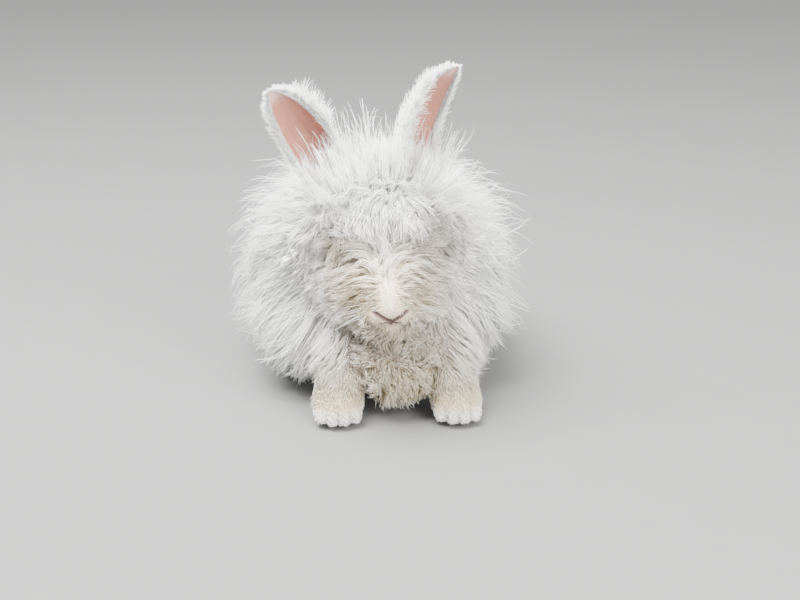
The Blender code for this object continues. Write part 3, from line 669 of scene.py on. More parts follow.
# %% Unwrap and closed pieces
# Each part of the skin has its own place on one unit square: left, bottom, width, height
UNWRAP = {"body": (0.00, 0.00, 0.60, 1.00), "bib": (0.61, 0.00, 0.10, 0.30),
          "front_leg_right": (0.72, 0.00, 0.26, 0.19), "front_leg_left": (0.72, 0.20, 0.26, 0.19),
          "hind_leg_right": (0.72, 0.40, 0.26, 0.13), "hind_leg_left": (0.72, 0.54, 0.26, 0.13),
          "ear_right": (0.72, 0.68, 0.26, 0.15), "ear_left": (0.72, 0.84, 0.26, 0.15)}


def unwrapped(grid, part):
    """A grid's own unwrap: how far round it across, and how far along it upwards."""
    left, bottom, wide, high = UNWRAP[part]
    rows, columns = grid.shape[:2]
    across, upward = np.meshgrid(np.arange(columns) / columns, np.linspace(0, 1, rows))
    return np.stack([left + wide * across, bottom + high * upward], axis=-1)


def closed_piece(grids, parts):
    """Points, quads, triangles and unwrap of several grids as one mesh, each closed at both ends."""
    points, quads, triangles, unwrap, first = [], [], [], [], 0
    for grid, part in zip(grids, parts):
        rows, columns = grid.shape[:2]
        own_quads, own_ends = closed_grid_faces(rows, columns, first)
        ends = np.stack([grid[0].mean(axis=0), grid[-1].mean(axis=0)])
        flat = unwrapped(grid, part)
        points += [grid.reshape(-1, 3), ends]
        unwrap += [flat.reshape(-1, 2), np.stack([flat[0].mean(axis=0), flat[-1].mean(axis=0)])]
        volume = np.sum(grid_normals(grid) * (grid - grid.reshape(-1, 3).mean(axis=0)))
        if volume < 0:
            own_quads, own_ends = own_quads[:, ::-1], own_ends[:, ::-1]
        quads.append(own_quads)
        triangles.append(own_ends)
        first += rows * columns + 2
    return np.concatenate(points), np.concatenate(quads), np.concatenate(triangles), np.concatenate(unwrap)


def outward(grid):
    """A grid's normals, turned outwards."""
    normals = grid_normals(grid)
    middle = grid.mean(axis=1, keepdims=True)
    return normals if np.mean(np.sum(normals * (grid - middle), axis=-1)) > 0 else -normals


grids = {"body": body_grid, **leg_grids, "bib": bib_grid}
print("unwrap places:", sorted(UNWRAP))

# %% [markdown]
# ## How the skin looks
#
# Rabbit skin is pale pink, and it shows bare only on the nose, the lips, the rims of the lids and
# inside the ears. Elsewhere wool covers it, and any gap between the locks should look like wool in
# shadow and not like a doll's skin, so there the skin takes the coat's colour, a little darker. Fine
# noise in the bump gives the short down that clings to it.

# %% Finishes of skin, wool and eyes
def finish(name, roughness, sheen=0.0, bump=None, coat=0.0, grain=(400.0, 0.10), subsurface=0.0,
           depth=(1.0, 1.0, 1.0)):
    """A Principled finish that takes its colour from the Mark attribute, broken up by fine noise.

    The grain is the noise's scale and how far it darkens. Bump is its scale and its height in metres.
    Depth says how far red, green and blue light travel under the surface, against each other.
    """
    made = bpy.data.materials.new(name)
    made.use_nodes = True
    nodes, links = made.node_tree.nodes, made.node_tree.links
    shader = nodes["Principled BSDF"]
    mark = nodes.new("ShaderNodeAttribute")
    mark.attribute_name = "Mark"
    place = nodes.new("ShaderNodeTexCoord")
    noise = nodes.new("ShaderNodeTexNoise")
    noise.inputs["Scale"].default_value = grain[0]
    noise.inputs["Detail"].default_value = 3.0
    links.new(place.outputs["Object"], noise.inputs["Vector"])
    shade = nodes.new("ShaderNodeMapRange")
    shade.inputs["From Min"].default_value = 0.3
    shade.inputs["From Max"].default_value = 0.7
    shade.inputs["To Min"].default_value = 1.0 - grain[1]
    shade.inputs["To Max"].default_value = 1.0
    links.new(noise.outputs["Fac"], shade.inputs["Value"])
    dim = nodes.new("ShaderNodeMix")
    dim.data_type = "RGBA"
    dim.blend_type = "MULTIPLY"
    dim.inputs["Factor"].default_value = 1.0
    tone = nodes.new("ShaderNodeCombineColor")
    for channel in ("Red", "Green", "Blue"):
        links.new(shade.outputs["Result"], tone.inputs[channel])
    links.new(mark.outputs["Color"], dim.inputs[6])
    links.new(tone.outputs["Color"], dim.inputs[7])
    links.new(dim.outputs[2], shader.inputs["Base Color"])
    shader.inputs["Roughness"].default_value = roughness
    shader.inputs["Sheen Weight"].default_value = sheen
    shader.inputs["Sheen Roughness"].default_value = 0.45
    shader.inputs["Sheen Tint"].default_value = (1.0, 1.0, 1.0, 1.0)
    shader.inputs["Coat Weight"].default_value = coat
    shader.inputs["Coat Roughness"].default_value = 0.05
    shader.inputs["Subsurface Weight"].default_value = subsurface
    shader.inputs["Subsurface Scale"].default_value = 0.004
    shader.inputs["Subsurface Radius"].default_value = depth
    if bump:
        pores = nodes.new("ShaderNodeTexNoise")
        pores.inputs["Scale"].default_value = bump[0]
        pores.inputs["Detail"].default_value = 4.0
        links.new(place.outputs["Object"], pores.inputs["Vector"])
        raised = nodes.new("ShaderNodeBump")
        raised.inputs["Distance"].default_value = bump[1]
        links.new(pores.outputs["Fac"], raised.inputs["Height"])
        links.new(raised.outputs["Normal"], shader.inputs["Normal"])
    return made


skin_finish = finish("rabbit_skin", 0.55, sheen=0.1, bump=(900.0, 0.0004), grain=(300.0, 0.12),
                     subsurface=0.04)
ear_finish = finish("ear_skin", 0.48, sheen=0.2, bump=(500.0, 0.0003), grain=(160.0, 0.16), subsurface=0.2,
                    depth=(1.0, 0.5, 0.4))
wool_finish = finish("angora_wool", 0.70, sheen=0.40, grain=(900.0, 0.03), subsurface=0.85)
eye_finish = finish("ruby_eye", 0.08, coat=1.0, grain=(900.0, 0.25))
print("finishes:", [m.name for m in (skin_finish, ear_finish, wool_finish, eye_finish)])

# %% [markdown]
# ## The skin as one piece
#
# On the animal one skin runs from the nose to the toes, so head, neck, trunk, tail, legs and bib are one
# mesh here too, and it takes the place of all their solids. The marks could be painted on a texture,
# but a colour worked out at each corner needs no picture. Round the nostrils, the lips and the lids the
# coat's colour gives way to bare pink and mauve, and the slits themselves get painted shade: nearly black.

# %% The skin as one piece
SKIN_PINK = np.array([0.78, 0.50, 0.45])
LIP_MAUVE = np.array([0.66, 0.46, 0.44])
# Nearly black colour of the painted shade inside the slits
SLIT_SHADE_COLOUR = np.array([0.045, 0.018, 0.014])
CLEFT = [0.0012, 0.0970]                    # where the nostrils meet, across and up
parts = list(grids)
points, quads, ends, unwrap = closed_piece([grids[p] for p in parts], parts)
colour = marked(points) * 0.92
bare = np.exp(-np.clip(openings(points), 0, 1) / 0.0012) * (points[:, 1] < -0.10)
nose = np.exp(-(((points - NOSE - [0, -0.001, -0.0015]) / [0.0080, 0.0060, 0.0058]) ** 2).sum(axis=1) ** 2)
rim = np.maximum(bare, 0.55 * nose)[:, None]
pink = np.where((points[:, 1] < -0.145)[:, None], LIP_MAUVE, SKIN_PINK)
colour += rim * (pink - colour)
# Painted shade: the nostrils' slits, the line of the lips and the cleft where the nostrils meet are painted
# nearly black, for the shade inside the openings.
deep = np.exp(-np.clip(openings(points) - 0.0003, 0, 1) / 0.0008)[:, None] * (points[:, 1] < -0.13)[:, None]
middle = np.exp(-((points[:, (0, 2)] - CLEFT) ** 2).sum(axis=1) / 0.0016 ** 2)[:, None]
painted_slit_shade = np.clip(0.96 * deep + 0.98 * middle * (points[:, 1] < -0.15)[:, None], 0, 0.98)
colour += painted_slit_shade * (SLIT_SHADE_COLOUR - colour)
skin = piece_of("skin", points, ends, quads, colour, unwrap, unwrap_name="SkinUnwrap")
skin.data.materials.append(skin_finish)
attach(skin, "root")
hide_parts("head", "neck", "chest", "torso", "tail", "front_leg_right", "front_leg_left",
            "hind_leg_right", "hind_leg_left")
print("skin faces:", len(skin.data.polygons))

# %% [markdown]
# ## The ears' skin
#
# The inside of an albino's ear is bare and pink, with a few veins that branch from the root, and it
# pales towards the rim, where the wool begins. The back is covered in short white fur.

# %% The ears as pieces
EAR_PINK = np.array((0.36, 0.145, 0.100))
EAR_VEIN = np.array((0.24, 0.065, 0.045))
EAR_RIM = np.array([0.86, 0.72, 0.67])
EAR_BACK = np.array([0.80, 0.74, 0.70])

# Each vein runs from one place across the cup, at the root, to another at the tip, and has a width
VEINS = ((0.0, 0.10, 0.045), (-0.10, -0.62, 0.030), (0.12, 0.66, 0.030), (-0.3, -0.30, 0.022))


def vein_share(t, s):
    """How much of the vein's colour shows: thin wavy lines that fan out from the ear's root."""
    share = np.zeros_like(t)
    for start, end, wide in VEINS:
        line = start + (end - start) * t + 0.05 * np.sin(7 * t + 9 * start + 3)
        share = np.maximum(share, hump(s, line, wide) * (1 - ramp(t, 0.55, 0.95)))
    return share


ears = {}
for side in (-1, 1):
    grid, t, s = ear_grids[side]
    part = "ear_" + SIDE_NAME[side]
    points, quads, ends, unwrap = closed_piece([grid], [part])
    inside = (np.arange(grid.shape[1]) >= grid.shape[1] // 2) & np.ones(grid.shape[:2], bool)
    pale = np.maximum(ramp(np.abs(s), 0.70, 1.0), ramp(t, 0.86, 1.0))[..., None]
    colour = EAR_PINK + 0.45 * vein_share(t, s)[..., None] * (EAR_VEIN - EAR_PINK)
    colour = colour * (1 - 0.10 * (1 - ramp(t, 0.0, 0.35))[..., None])
    colour = colour + 0.6 * pale * (EAR_RIM - colour)
    colour = np.where(inside[..., None], colour, EAR_BACK).reshape(-1, 3)
    colour = np.concatenate([colour, colour[:1], colour[-1:]])
    ear = piece_of(part + "_skin", points, ends, quads, colour, unwrap, unwrap_name="SkinUnwrap")
    ear.data.materials.append(ear_finish)
    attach(ear, "root")
    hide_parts(part)
    ears[side] = ear
print("ears:", [len(ear.data.polygons) for ear in ears.values()])

# %% [markdown]
# ## The eyes
#
# An albino's eye is a wet ruby ball with a darker pupil. Nearly all of it hides behind half shut lids
# and matted wool, but it still sits there at its full size, so that any glint comes from the right
# depth. A ball made of rings about the line of sight puts the pupil's round edge on a ring.

# %% The eyes as pieces
def eye_points(side, rows=40, columns=48):
    """A ball about the line of sight, and how far each ring is from the pupil, in radians.

    The cornea swells by a cosine within 35 degrees of the line of sight.
    """
    look = look_of(side)
    across = unit(np.cross([0.0, 0.0, 1.0], look))
    up = np.cross(look, across)
    tilt, turn = np.meshgrid(np.linspace(0.04, np.pi - 0.04, rows), np.arange(columns) / columns * 2 * np.pi,
                             indexing="ij")
    swell = 0.0006 * np.clip(np.cos(tilt * np.pi / np.radians(70)), 0, 1) * (tilt < np.radians(35))
    radius = (EYE_RADIUS - 0.0002 + swell)[..., None]
    way = (np.cos(tilt)[..., None] * look + np.sin(tilt)[..., None]
           * (np.cos(turn)[..., None] * across + np.sin(turn)[..., None] * up))
    return posed(EYES[side]) + radius * way, tilt, turn


PUPIL = np.array([0.10, 0.005, 0.012])
RUBY = np.array([0.34, 0.045, 0.05])
EYE_WHITE = np.array([0.62, 0.40, 0.38])
eyes = {}
for side in (-1, 1):
    grid, tilt, turn = eye_points(side)
    quads, ends = closed_grid_faces(*grid.shape[:2], 0)
    points = np.concatenate([grid.reshape(-1, 3), [grid[0].mean(axis=0)], [grid[-1].mean(axis=0)]])
    if np.sum(grid_normals(grid) * (grid - posed(EYES[side]))) < 0:
        quads, ends = quads[:, ::-1], ends[:, ::-1]
    iris = RUBY * (1 + 0.25 * np.sin(turn * 31)[..., None] * np.ones(3))
    ring = ramp(tilt, np.radians(13), np.radians(16))[..., None]
    white = ramp(tilt, np.radians(40), np.radians(44))[..., None]
    colour = (1 - ring) * PUPIL + ring * iris
    colour = colour + white * (EYE_WHITE - colour)
    colour = np.concatenate([colour.reshape(-1, 3), colour[0, :1], colour[-1, :1]])
    eye = piece_of("eye_" + SIDE_NAME[side] + "_ball", points, ends, quads, colour)
    eye.data.materials.append(eye_finish)
    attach(eye, "root")
    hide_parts("eye_" + SIDE_NAME[side])
    eyes[side] = eye
print("eyes:", [len(eye.data.polygons) for eye in eyes.values()])

# %% [markdown]
# ## Where wool grows
#
# Wool starts on the skin. Its places are drawn from the skin's own grid: each cell gets a chance by
# its area and by how much wool the part has, and a place inside a picked cell is a mix of the cell's
# corners. All the draws come from one seeded generator for each part, so the coat is the same in
# every run.

# %% Roots on the skin
def roots_on(grid, part, chance, count, seed):
    """Places, outward directions and unwrapped places of count roots.

    Cells are taken at even steps of the running sum of area times chance, which spreads the roots
    more evenly than free draws.
    """
    rng = np.random.default_rng(seed)
    normals, flat = outward(grid), unwrapped(grid, part)
    beside, flat_beside = np.roll(grid, -1, axis=1), flat.copy()
    flat_beside[..., 0] += UNWRAP[part][2] / grid.shape[1]
    cells = [grid[:-1], beside[:-1], beside[1:], grid[1:]]
    area = np.linalg.norm(np.cross(cells[2] - cells[0], cells[3] - cells[1]), axis=-1) / 2
    middle = (sum(cells) / 4).reshape(-1, 3)
    weight = area.reshape(-1) * chance(middle, normals[:-1].reshape(-1, 3))
    running = np.cumsum(weight)
    picks = np.searchsorted(running, (np.arange(count) + rng.random(count)) / count * running[-1])
    picks = np.minimum(picks, len(weight) - 1)
    a, b = rng.random((2, count, 1))

    def mixed(values, values_beside):
        """Values at the picked places: the four corners of each cell, shared out by a and b."""
        corners = [values[:-1], values_beside[:-1], values_beside[1:], values[1:]]
        w = [(1 - a) * (1 - b), a * (1 - b), a * b, (1 - a) * b]
        wide = values.shape[-1]
        return sum(share * corner.reshape(-1, wide)[picks] for share, corner in zip(w, corners))

    turned = unit(mixed(normals, np.roll(normals, -1, axis=1)))
    return mixed(grid, beside), turned, mixed(flat, flat_beside), rng


print("roots can be drawn on:", ", ".join(grids))

# %% [markdown]
# ## Locks
#
# Angora wool hangs in locks: hundreds of soft hairs that start apart and lean together at the tips,
# with a wave along them. Particle hair would comb this well, but an exported model loses it. So each
# lock is a path that walks over the body. At each step it goes along the lie of the coat and away
# from the skin, and it is held back at the outline.

# %% Combing the locks
def swirl(points, scale, seed):
    """A slow wandering of directions: sines of sums of the coordinates, each component its own."""
    turn = np.random.default_rng(seed).uniform(0, 2 * np.pi, 9)
    x, y, z = (points / scale).T
    return np.stack([np.sin(x + 1.3 * y + turn[0]) + np.sin(1.9 * z - y + turn[1]),
                     np.sin(y + 1.4 * z + turn[2]) + np.sin(2.1 * x - z + turn[3]),
                     np.sin(z + 1.2 * x + turn[4]) + np.sin(1.8 * y - x + turn[5])], axis=1) / 2


def combed(roots, normals, lie, length, lift, steps, wander, loose, seed):
    """Paths of locks: one point for each step, starting at the roots.

    The walk's direction is the lie, flattened onto the skin, times the cosine of the lift, plus the
    outward direction times its sine. The lift falls from its first value to its second. A point more
    than loose past the outline is pushed back. The lift may also be a function of the roots.
    """
    path = [roots - normals * 0.0015]
    out = normals
    first, last = lift(roots) if callable(lift) else lift
    for k in range(steps):
        share = (k + 0.5) / steps
        here = path[-1]
        flow = lie(here) + wander * swirl(here, 0.012, seed) + 0.6 * wander * swirl(here, 0.004, seed + 1)
        flow = unit(flow - out * np.sum(flow * out, axis=1, keepdims=True))
        angle = np.radians(first + (last - first) * share + 0 * length)[:, None]
        there = here + (flow * np.cos(angle) + out * np.sin(angle)) * (length / steps)[:, None]
        past = outline_field(there) - loose
        out = unit(0.5 * out + 0.5 * slope_of(outline_field, there, 0.003))
        there = there - out * np.clip(past, 0, 0.02)[:, None]
        there[:, 2] = np.maximum(there[:, 2], 0.0012 + 0.002 * (1 - share))
        path.append(there)
    return np.stack(path, axis=1)


print("swirl at the nose:", swirl(NOSE[None], 0.012, 1).round(2).tolist())

# %% [markdown]
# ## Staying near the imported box
#
# The solids reach as far as the coat does, and both models have to agree in size. Single soft hairs may
# stand a little past the box, but ever less the further they would reach. Cutting them off at a plane
# would be simpler, and would show as a trimmed edge.

# %% Room for the softest hairs
ROOM = 0.008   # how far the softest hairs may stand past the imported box


def held_in(points):
    """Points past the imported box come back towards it: the excess e becomes ROOM tanh(e / ROOM)."""
    low, high = np.array(CAD_BOX[0]), np.array(CAD_BOX[1])
    over, under = np.maximum(points - high, 0), np.maximum(low - points, 0)
    points = points - over + ROOM * np.tanh(over / ROOM) + under - ROOM * np.tanh(under / ROOM)
    points[..., 2] = np.maximum(points[..., 2], 0.0010)
    return points


print("room past the packed box:", ROOM, "m")

# %% [markdown]
# ## Strands that follow a lock
#
# Thin tapered strands follow their lock's path, each from its own root, and the share by which they
# draw together grows towards the tips. Every strand could walk over the body by itself, but then
# neighbours would cross, and the coat would be a tangle with no locks in it.

# %% Strands of the locks
def nearest(points, targets):
    """The index of the nearest target of each point, a few thousand points at a time."""
    square = (targets ** 2).sum(axis=1)
    return np.concatenate([np.argmin(square - 2 * chunk @ targets.T, axis=1)
                           for chunk in np.array_split(points, max(1, len(points) // 4000))])


def strands(paths, roots, normals, owner, segments, clump, spread, wave, reach, rng):
    """Paths of strands, each following its lock from its own root.

    The offset from the lock's path is the difference of the roots, times one minus clump times the
    share of the way. Spread opens the tips a little, and wave adds a sine across the strand.
    """
    count, steps = len(roots), paths.shape[1] - 1
    share = (1 - (1 - np.linspace(0, 1, segments + 1)) ** 1.45)[None, :]
    share = share * rng.uniform(reach[0], reach[1], (count, 1))
    spot = np.clip(share * steps, 0, steps - 1e-6)
    low = spot.astype(int)
    part = (spot - low)[..., None]
    chosen = paths[owner]
    row = np.arange(count)[:, None]
    along = chosen[row, low] * (1 - part) + chosen[row, low + 1] * part
    offset = roots - normals * 0.0015 - chosen[:, 0]
    hold = 1 - clump * rng.uniform(0.7, 1.25, (count, 1)) * share ** 0.8
    along = along + offset[:, None] * np.clip(hold, 0.02, 1)[..., None]
    along += rng.normal(0, 1, (count, 1, 3)) * (spread * share ** 1.5)[..., None]
    direction = unit(rng.normal(0, 1, (count, 3)))
    phase = rng.uniform(0, 2 * np.pi, (count, 1))
    curl = wave * share * np.sin(share * rng.uniform(5, 10, (count, 1)) + phase)
    along += direction[:, None] * curl[..., None]
    return along, share


stops = np.array([[0.0], [5.0], [9.0]])
print("of 0, 5 and 9 the nearest to 6 has the index", nearest(np.array([[6.0]]), stops))

# %% [markdown]
# ## From strands to a coat
#
# A strand is a three sided spindle with one pointed end, so it is solid and costs 10 to 22 faces. A
# flat ribbon would cost less, but it vanishes when it is seen edge on. All the strands of one part of
# the coat are one mesh that lies over the skin and moves with it.

# %% Spindles and coat pieces
def spindles(along, normals, width, thin, profile):
    """Corners and faces of tapered three sided strands.

    Across is the strand's own direction crossed with the skin's. The three corners at each point lie
    half a width to both sides and a thickness outwards, and the last point is the tip.
    """
    count, points = along.shape[:2]
    ahead = unit(np.gradient(along, axis=1))
    across = unit(np.cross(ahead, normals[:, None]))
    up = np.cross(across, ahead)
    half = (width[:, None] * profile[None, :] / 2)[..., None]
    high = half * 2 * thin
    ring = np.stack([along - across * half, along + up * high, along + across * half], axis=2)[:, :-1]
    corners = np.concatenate([ring.reshape(count, -1, 3), along[:, -1:]], axis=1)
    each = 3 * (points - 1) + 1
    faces = [(0, 1, 2)]
    for k in range(points - 2):
        for a, b in ((0, 1), (1, 2), (2, 0)):
            faces += [(3 * k + b, 3 * k + a, 3 * k + a + 3), (3 * k + b, 3 * k + a + 3, 3 * k + b + 3)]
    last = 3 * (points - 2)
    faces += [(last + b, last + a, last + 3) for a, b in ((0, 1), (1, 2), (2, 0))]
    faces = np.array(faces)[None] + (np.arange(count) * each)[:, None, None]
    return corners, faces.reshape(-1, 3)


PATCH = 0.003   # how wide a strand's own patch of the unwrap is


def coat_piece(name, corners, faces, unwrap, colour, finish_used):
    """A coat as one mesh: each strand's unwrap is a small patch at its root's own place."""
    each = corners.shape[1]
    rings = (each - 1) // 3
    patch = np.zeros((each, 2))
    patch[:-1, 0] = np.tile([0.0, 0.5, 1.0], rings)
    patch[:-1, 1] = np.repeat(np.arange(rings), 3) / rings
    patch[-1] = (0.5, 1.0)
    flat = unwrap[:, None] + (patch - 0.5)[None] * PATCH
    made = piece_of(name, corners.reshape(-1, 3), faces, None, colour.reshape(-1, 3), flat.reshape(-1, 2))
    made.data.materials.append(finish_used)
    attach(made, "root")
    return made


print("a strand's patch:", PATCH, "of the square")

# %% [markdown]
# ## The lie of the coat
#
# On the photographed rabbit the wool falls forwards over the forehead, down and outwards from the
# cheeks, out from the neck like a ruff, and backwards and down over the sides. Short fur on the face
# runs back from the nose. Each lie is a direction for every place, and swirls break it up.

# %% Directions of the coat
def aside(points, wide=0.02):
    """-1 on the rabbit's right, 1 on its left, and between them near the middle."""
    return np.clip(points[:, 0] / wide, -1, 1)


def lie_of(across, backwards, upwards):
    """Directions from their three parts, each an array or a number that holds everywhere."""
    return np.stack(np.broadcast_arrays(across, backwards, upwards), axis=1)


def from_nose(points):
    """How far up the head's axis a point lies."""
    return (points - NOSE) @ HEAD_AXIS


def depth_at(points):
    """How thick the coat is over a place on the skin: how far inside the outline it lies."""
    return np.maximum(-outline_field(points), 0.0)


def body_lie(points):
    """From the middle of the back to the sides, backwards and down."""
    return lie_of(0.55 * aside(points, 0.04), 0.42, -0.65)


def ruff_lie(points):
    """Out from the neck all round, and down, but up and outwards high at the sides."""
    high = ramp(points[:, 2], 0.120, 0.165)
    return lie_of(1.0 * aside(points, 0.03), 0.10 + 0.1 * high, -0.65 + 0.75 * high)


def crown_lie(points):
    """Forwards over the forehead, backwards behind the ears, and out to both sides."""
    ahead = ramp(-points[:, 1], 0.068, 0.086)
    return lie_of(0.75 * aside(points, 0.055), 0.5 - 1.3 * ahead, -0.10 - 0.30 * ahead)


def cheek_lie(points):
    """Down and outwards from the cheeks and the throat."""
    return lie_of(0.55 * aside(points, 0.02), -0.05, -0.85)


def face_lie(points):
    """Up the bridge of the nose, and outwards and down on the sides, more steeply the lower it is."""
    low = 1 - ramp(points[:, 2], 0.095, 0.140)
    beside = np.abs(aside(points, 0.014))
    return lie_of(0.95 * aside(points, 0.014), 0.55 - 0.25 * beside, 0.62 - 0.75 * beside - 0.75 * low)


print("eyes lie", round(float(from_nose(EYES[1][None])[0]), 3), "m up the head's axis")

# %% [markdown]
# ## The long wool
#
# One function grows a part of the coat: it picks the places of the locks, walks their paths, picks
# the roots of the strands, gives each to its nearest lock, and turns all of them into one mesh. The
# length of a lock comes from how deep the coat is there, so the tips reach the outline and no
# further. Each kind of strand has a profile: its width at a few even steps, from the root to the tip.

# %% Growing one part of the wool
STRAND = np.array([1.00, 1.00, 0.62, 0.34, 0.0])
FINE = np.array([1.00, 0.85, 0.45, 0.0])
HAIR = np.array([1.00, 1.00, 0.80, 0.55, 0.0])
TUFT = np.array([0.85, 1.00, 0.0])
BRIGHTEST = 0.94   # no wool sends back more of the light than this


def coat_length(points):
    """A little more than the coat's depth, because the locks lean."""
    return np.clip(depth_at(points) * 1.35, 0.020, 0.076)


def even(length):
    """The same length everywhere."""
    return lambda points: np.full(len(points), length)


def repeated(tone):
    """A colour for each corner: three times for every step of a strand, and once for its tip."""
    return np.concatenate([np.repeat(tone[:, :-1], 3, axis=1), tone[:, -1:]], axis=1)


def grow_wool(name, part, chance, lie, locks, count, width, seed, length=None, lift=(60, 5), clump=0.72,
              spread=0.0020, wave=0.0026, wander=0.45, loose=(-0.004, 0.004), thin=0.45, profile=STRAND):
    """One coat piece: locks paths, count strands, and the mesh with its colours and unwrap.

    Width is a strand's width at its root. Length gives a lock's length at its root, and loose how far
    past the outline the locks may reach, from the least to the most.
    """
    grid = grids[part]
    lock_roots, lock_normals, _, rng = roots_on(grid, part, chance, locks, seed)
    reach = (length or coat_length)(lock_roots) * rng.uniform(0.75, 1.20, locks)
    out = rng.uniform(*loose, locks)
    paths = combed(lock_roots, lock_normals, lie, reach, lift, 7, wander, out, seed)
    roots, normals, flat, rng = roots_on(grid, part, chance, count, seed + 1)
    owner = nearest(roots, lock_roots)
    along, share = strands(paths, roots, normals, owner, len(profile) - 1, clump, spread, wave,
                           (0.70, 1.08), rng)
    along = held_in(along)
    corners, faces = spindles(along, normals, width * rng.uniform(0.7, 1.25, count), thin, profile)
    tint = rng.normal(0, 1, (locks, 1)) * [0.004, 0.007, 0.012] + rng.normal(0, 1, (locks, 1)) * 0.010
    # Painted shade: a strand is darker at its root than at its tip, 0.93 against 1.02, for the shade deep in
    # the coat. Each lock and strand also varies a little at random.
    tone = (1 + tint[owner] + rng.normal(0, 0.010, (count, 1)))[:, None] * (0.93 + 0.09 * share)[..., None]
    tone = np.clip(tone * marked(along.reshape(-1, 3)).reshape(along.shape), 0, BRIGHTEST)
    made = coat_piece(name, corners, faces, flat, repeated(tone), wool_finish)
    print(name, len(faces), "faces in", count, "strands")
    return made


print("profiles:", {"strand": len(STRAND), "fine": len(FINE), "hair": len(HAIR), "tuft": len(TUFT)})

# %% [markdown]
# ## Where the wool is thick
#
# A coat has no edges: each part thins out where the next one begins. So every part has its own chance
# of a root at each place, made of smooth ramps along the body. Hard borders would be simpler, but
# between different lies they show as partings with bare skin in them.

# %% Chances of wool on the trunk and the head
def on_body(points, normals):
    """Torso and neck, less densely underneath."""
    return ramp(points[:, 1], -0.085, -0.070) * (0.45 + 0.55 * ramp(points[:, 2], 0.02, 0.07))


def part_of(low, high):
    """Picks the roots on the body between two values of X."""
    return lambda points, normals: (on_body(points, normals) * (points[:, 0] >= low) * (points[:, 0] < high))


def on_ruff(points, normals):
    """The neck's front and sides, behind the head."""
    neck = ramp(points[:, 1], -0.100, -0.088) * (1 - ramp(points[:, 1], -0.045, -0.030))
    return neck * ramp(points[:, 2], 0.06, 0.08)


def on_crown(points, normals):
    """From the brow back to the nape, between and beside the ears."""
    return (ramp(from_nose(points), 0.058, 0.070) * ramp(points[:, 2], 0.140, 0.152)
            * (1 - ramp(points[:, 1], -0.078, -0.068)))


def on_cheek(points, normals):
    """The sides of the head behind the eyes, and the throat."""
    y, z = points[:, 1], points[:, 2]
    sides = ramp(np.abs(points[:, 0]), 0.018, 0.026) * ramp(from_nose(points), 0.040, 0.052)
    throat = ramp(y, -0.156, -0.144) * (1 - ramp(z, 0.082, 0.094)) * ramp(z, 0.060, 0.068)
    return np.maximum(sides, 1.6 * throat) * (1 - ramp(z, 0.148, 0.158)) * (1 - ramp(y, -0.085, -0.075))


print("chance of wool on a flank:", on_body(np.array([[0.08, 0.0, 0.10]]), None).round(2))

# %% [markdown]
# ## The wool of the back, the flanks and the neck
#
# Most of the wool hangs from the back and the flanks, and stands out round the neck as a ruff. Under it
# lies a filler of short broad tufts, thickest where the long locks part, in place of the animal's downy
# undercoat. More long strands would close the gaps too, but a tuft covers more for fewer faces.

# %% Undercoat, sides, back and ruff
def on_under(points, normals):
    """Where the long wool parts most: the brow, the cheeks, the nape and the back."""
    brow = 5.0 * hump(from_nose(points), 0.091, 0.015) * on_crown(points, normals)
    head = np.maximum(np.maximum(1.3 * on_crown(points, normals), brow), on_cheek(points, normals))
    head *= np.maximum(ramp(points[:, 2], 0.088, 0.100), ramp(points[:, 1], -0.118, -0.106))
    nape = 1.6 * hump(points[:, 1], -0.062, 0.020) * ramp(points[:, 2], 0.095, 0.115)
    back = 0.6 + 0.7 * ramp(points[:, 2], 0.100, 0.140)
    return np.maximum(np.maximum(head, nape), back * on_body(points, normals))


def under_length(points):
    """Most of the coat's depth."""
    return np.clip(depth_at(points) * 0.80, 0.006, 0.030)


coats = [
    grow_wool("wool_under", "body", on_under, body_lie, 1500, 9000, 0.0036, seed=7, length=under_length,
              lift=(75, 45), wander=0.60, clump=0.20, loose=(-0.012, -0.006), profile=TUFT),
    grow_wool("wool_side_right", "body", part_of(-1, -0.018), body_lie, 1800, 7500, 0.0016, seed=11,
              wander=0.34, clump=0.36, profile=FINE),
    grow_wool("wool_side_left", "body", part_of(0.018, 1), body_lie, 1800, 7500, 0.0016, seed=21,
              wander=0.34, clump=0.36, profile=FINE),
    grow_wool("wool_back", "body", part_of(-0.018, 0.018), body_lie, 700, 4300, 0.0018, seed=31,
              wander=0.36, clump=0.32, profile=FINE),
    grow_wool("wool_ruff", "body", on_ruff, ruff_lie, 620, 6500, 0.0013, seed=41, lift=(50, 0),
              wander=0.55, clump=0.60, loose=(-0.006, 0.010), profile=FINE),
]

# %% [markdown]
# ## The wool of the crown and the brow
#
# Between the ears the wool stands up, and at the brow it falls forwards over the eyes. A single lift
# for both would either flatten the crown or leave a gap where the wool starts to fall, so the lift
# grows with the height, and a band of falling wool covers the place where they part.

# %% Wool of the crown and the brow
def crown_lift(points):
    """From nearly upright between the ears to half laid at the brow, and lower towards the tips."""
    high = ramp(from_nose(points), 0.060, 0.116)
    stray = swirl(points, 0.0011, 5)
    return 58 + 22 * high + 12 * stray[:, 0], 8 + 48 * high + 20 * stray[:, 1]


def on_brow(points, normals):
    """A band across the forehead, where the crown's wool starts to fall forwards."""
    return hump(from_nose(points), 0.089, 0.014) * on_crown(points, normals)


def brow_lie(points):
    """Down the forehead, spreading to both sides."""
    return lie_of(0.55 * aside(points, 0.04), -0.8, -0.55)


coats += [
    grow_wool("wool_crown", "body", on_crown, crown_lie, 460, 7700, 0.0011, seed=51, lift=crown_lift,
              length=even(0.033), wander=0.45, wave=0.0018, clump=0.45, loose=(0.000, 0.010),
              profile=FINE),
    grow_wool("wool_brow", "body", on_brow, brow_lie, 320, 2600, 0.0011, seed=48, length=even(0.033),
              lift=(50, 0), wander=0.50, wave=0.0018, clump=0.20, loose=(0.002, 0.010), profile=FINE),
]

# %% [markdown]
# ## The skirt
#
# Round the bottom of the body the wool hangs nearly to the floor, and beside the forelegs it hides
# the elbows. It could be left to the flanks' own locks, but they lean backwards and end too high, so
# the skirt has locks of its own that hang straight down.

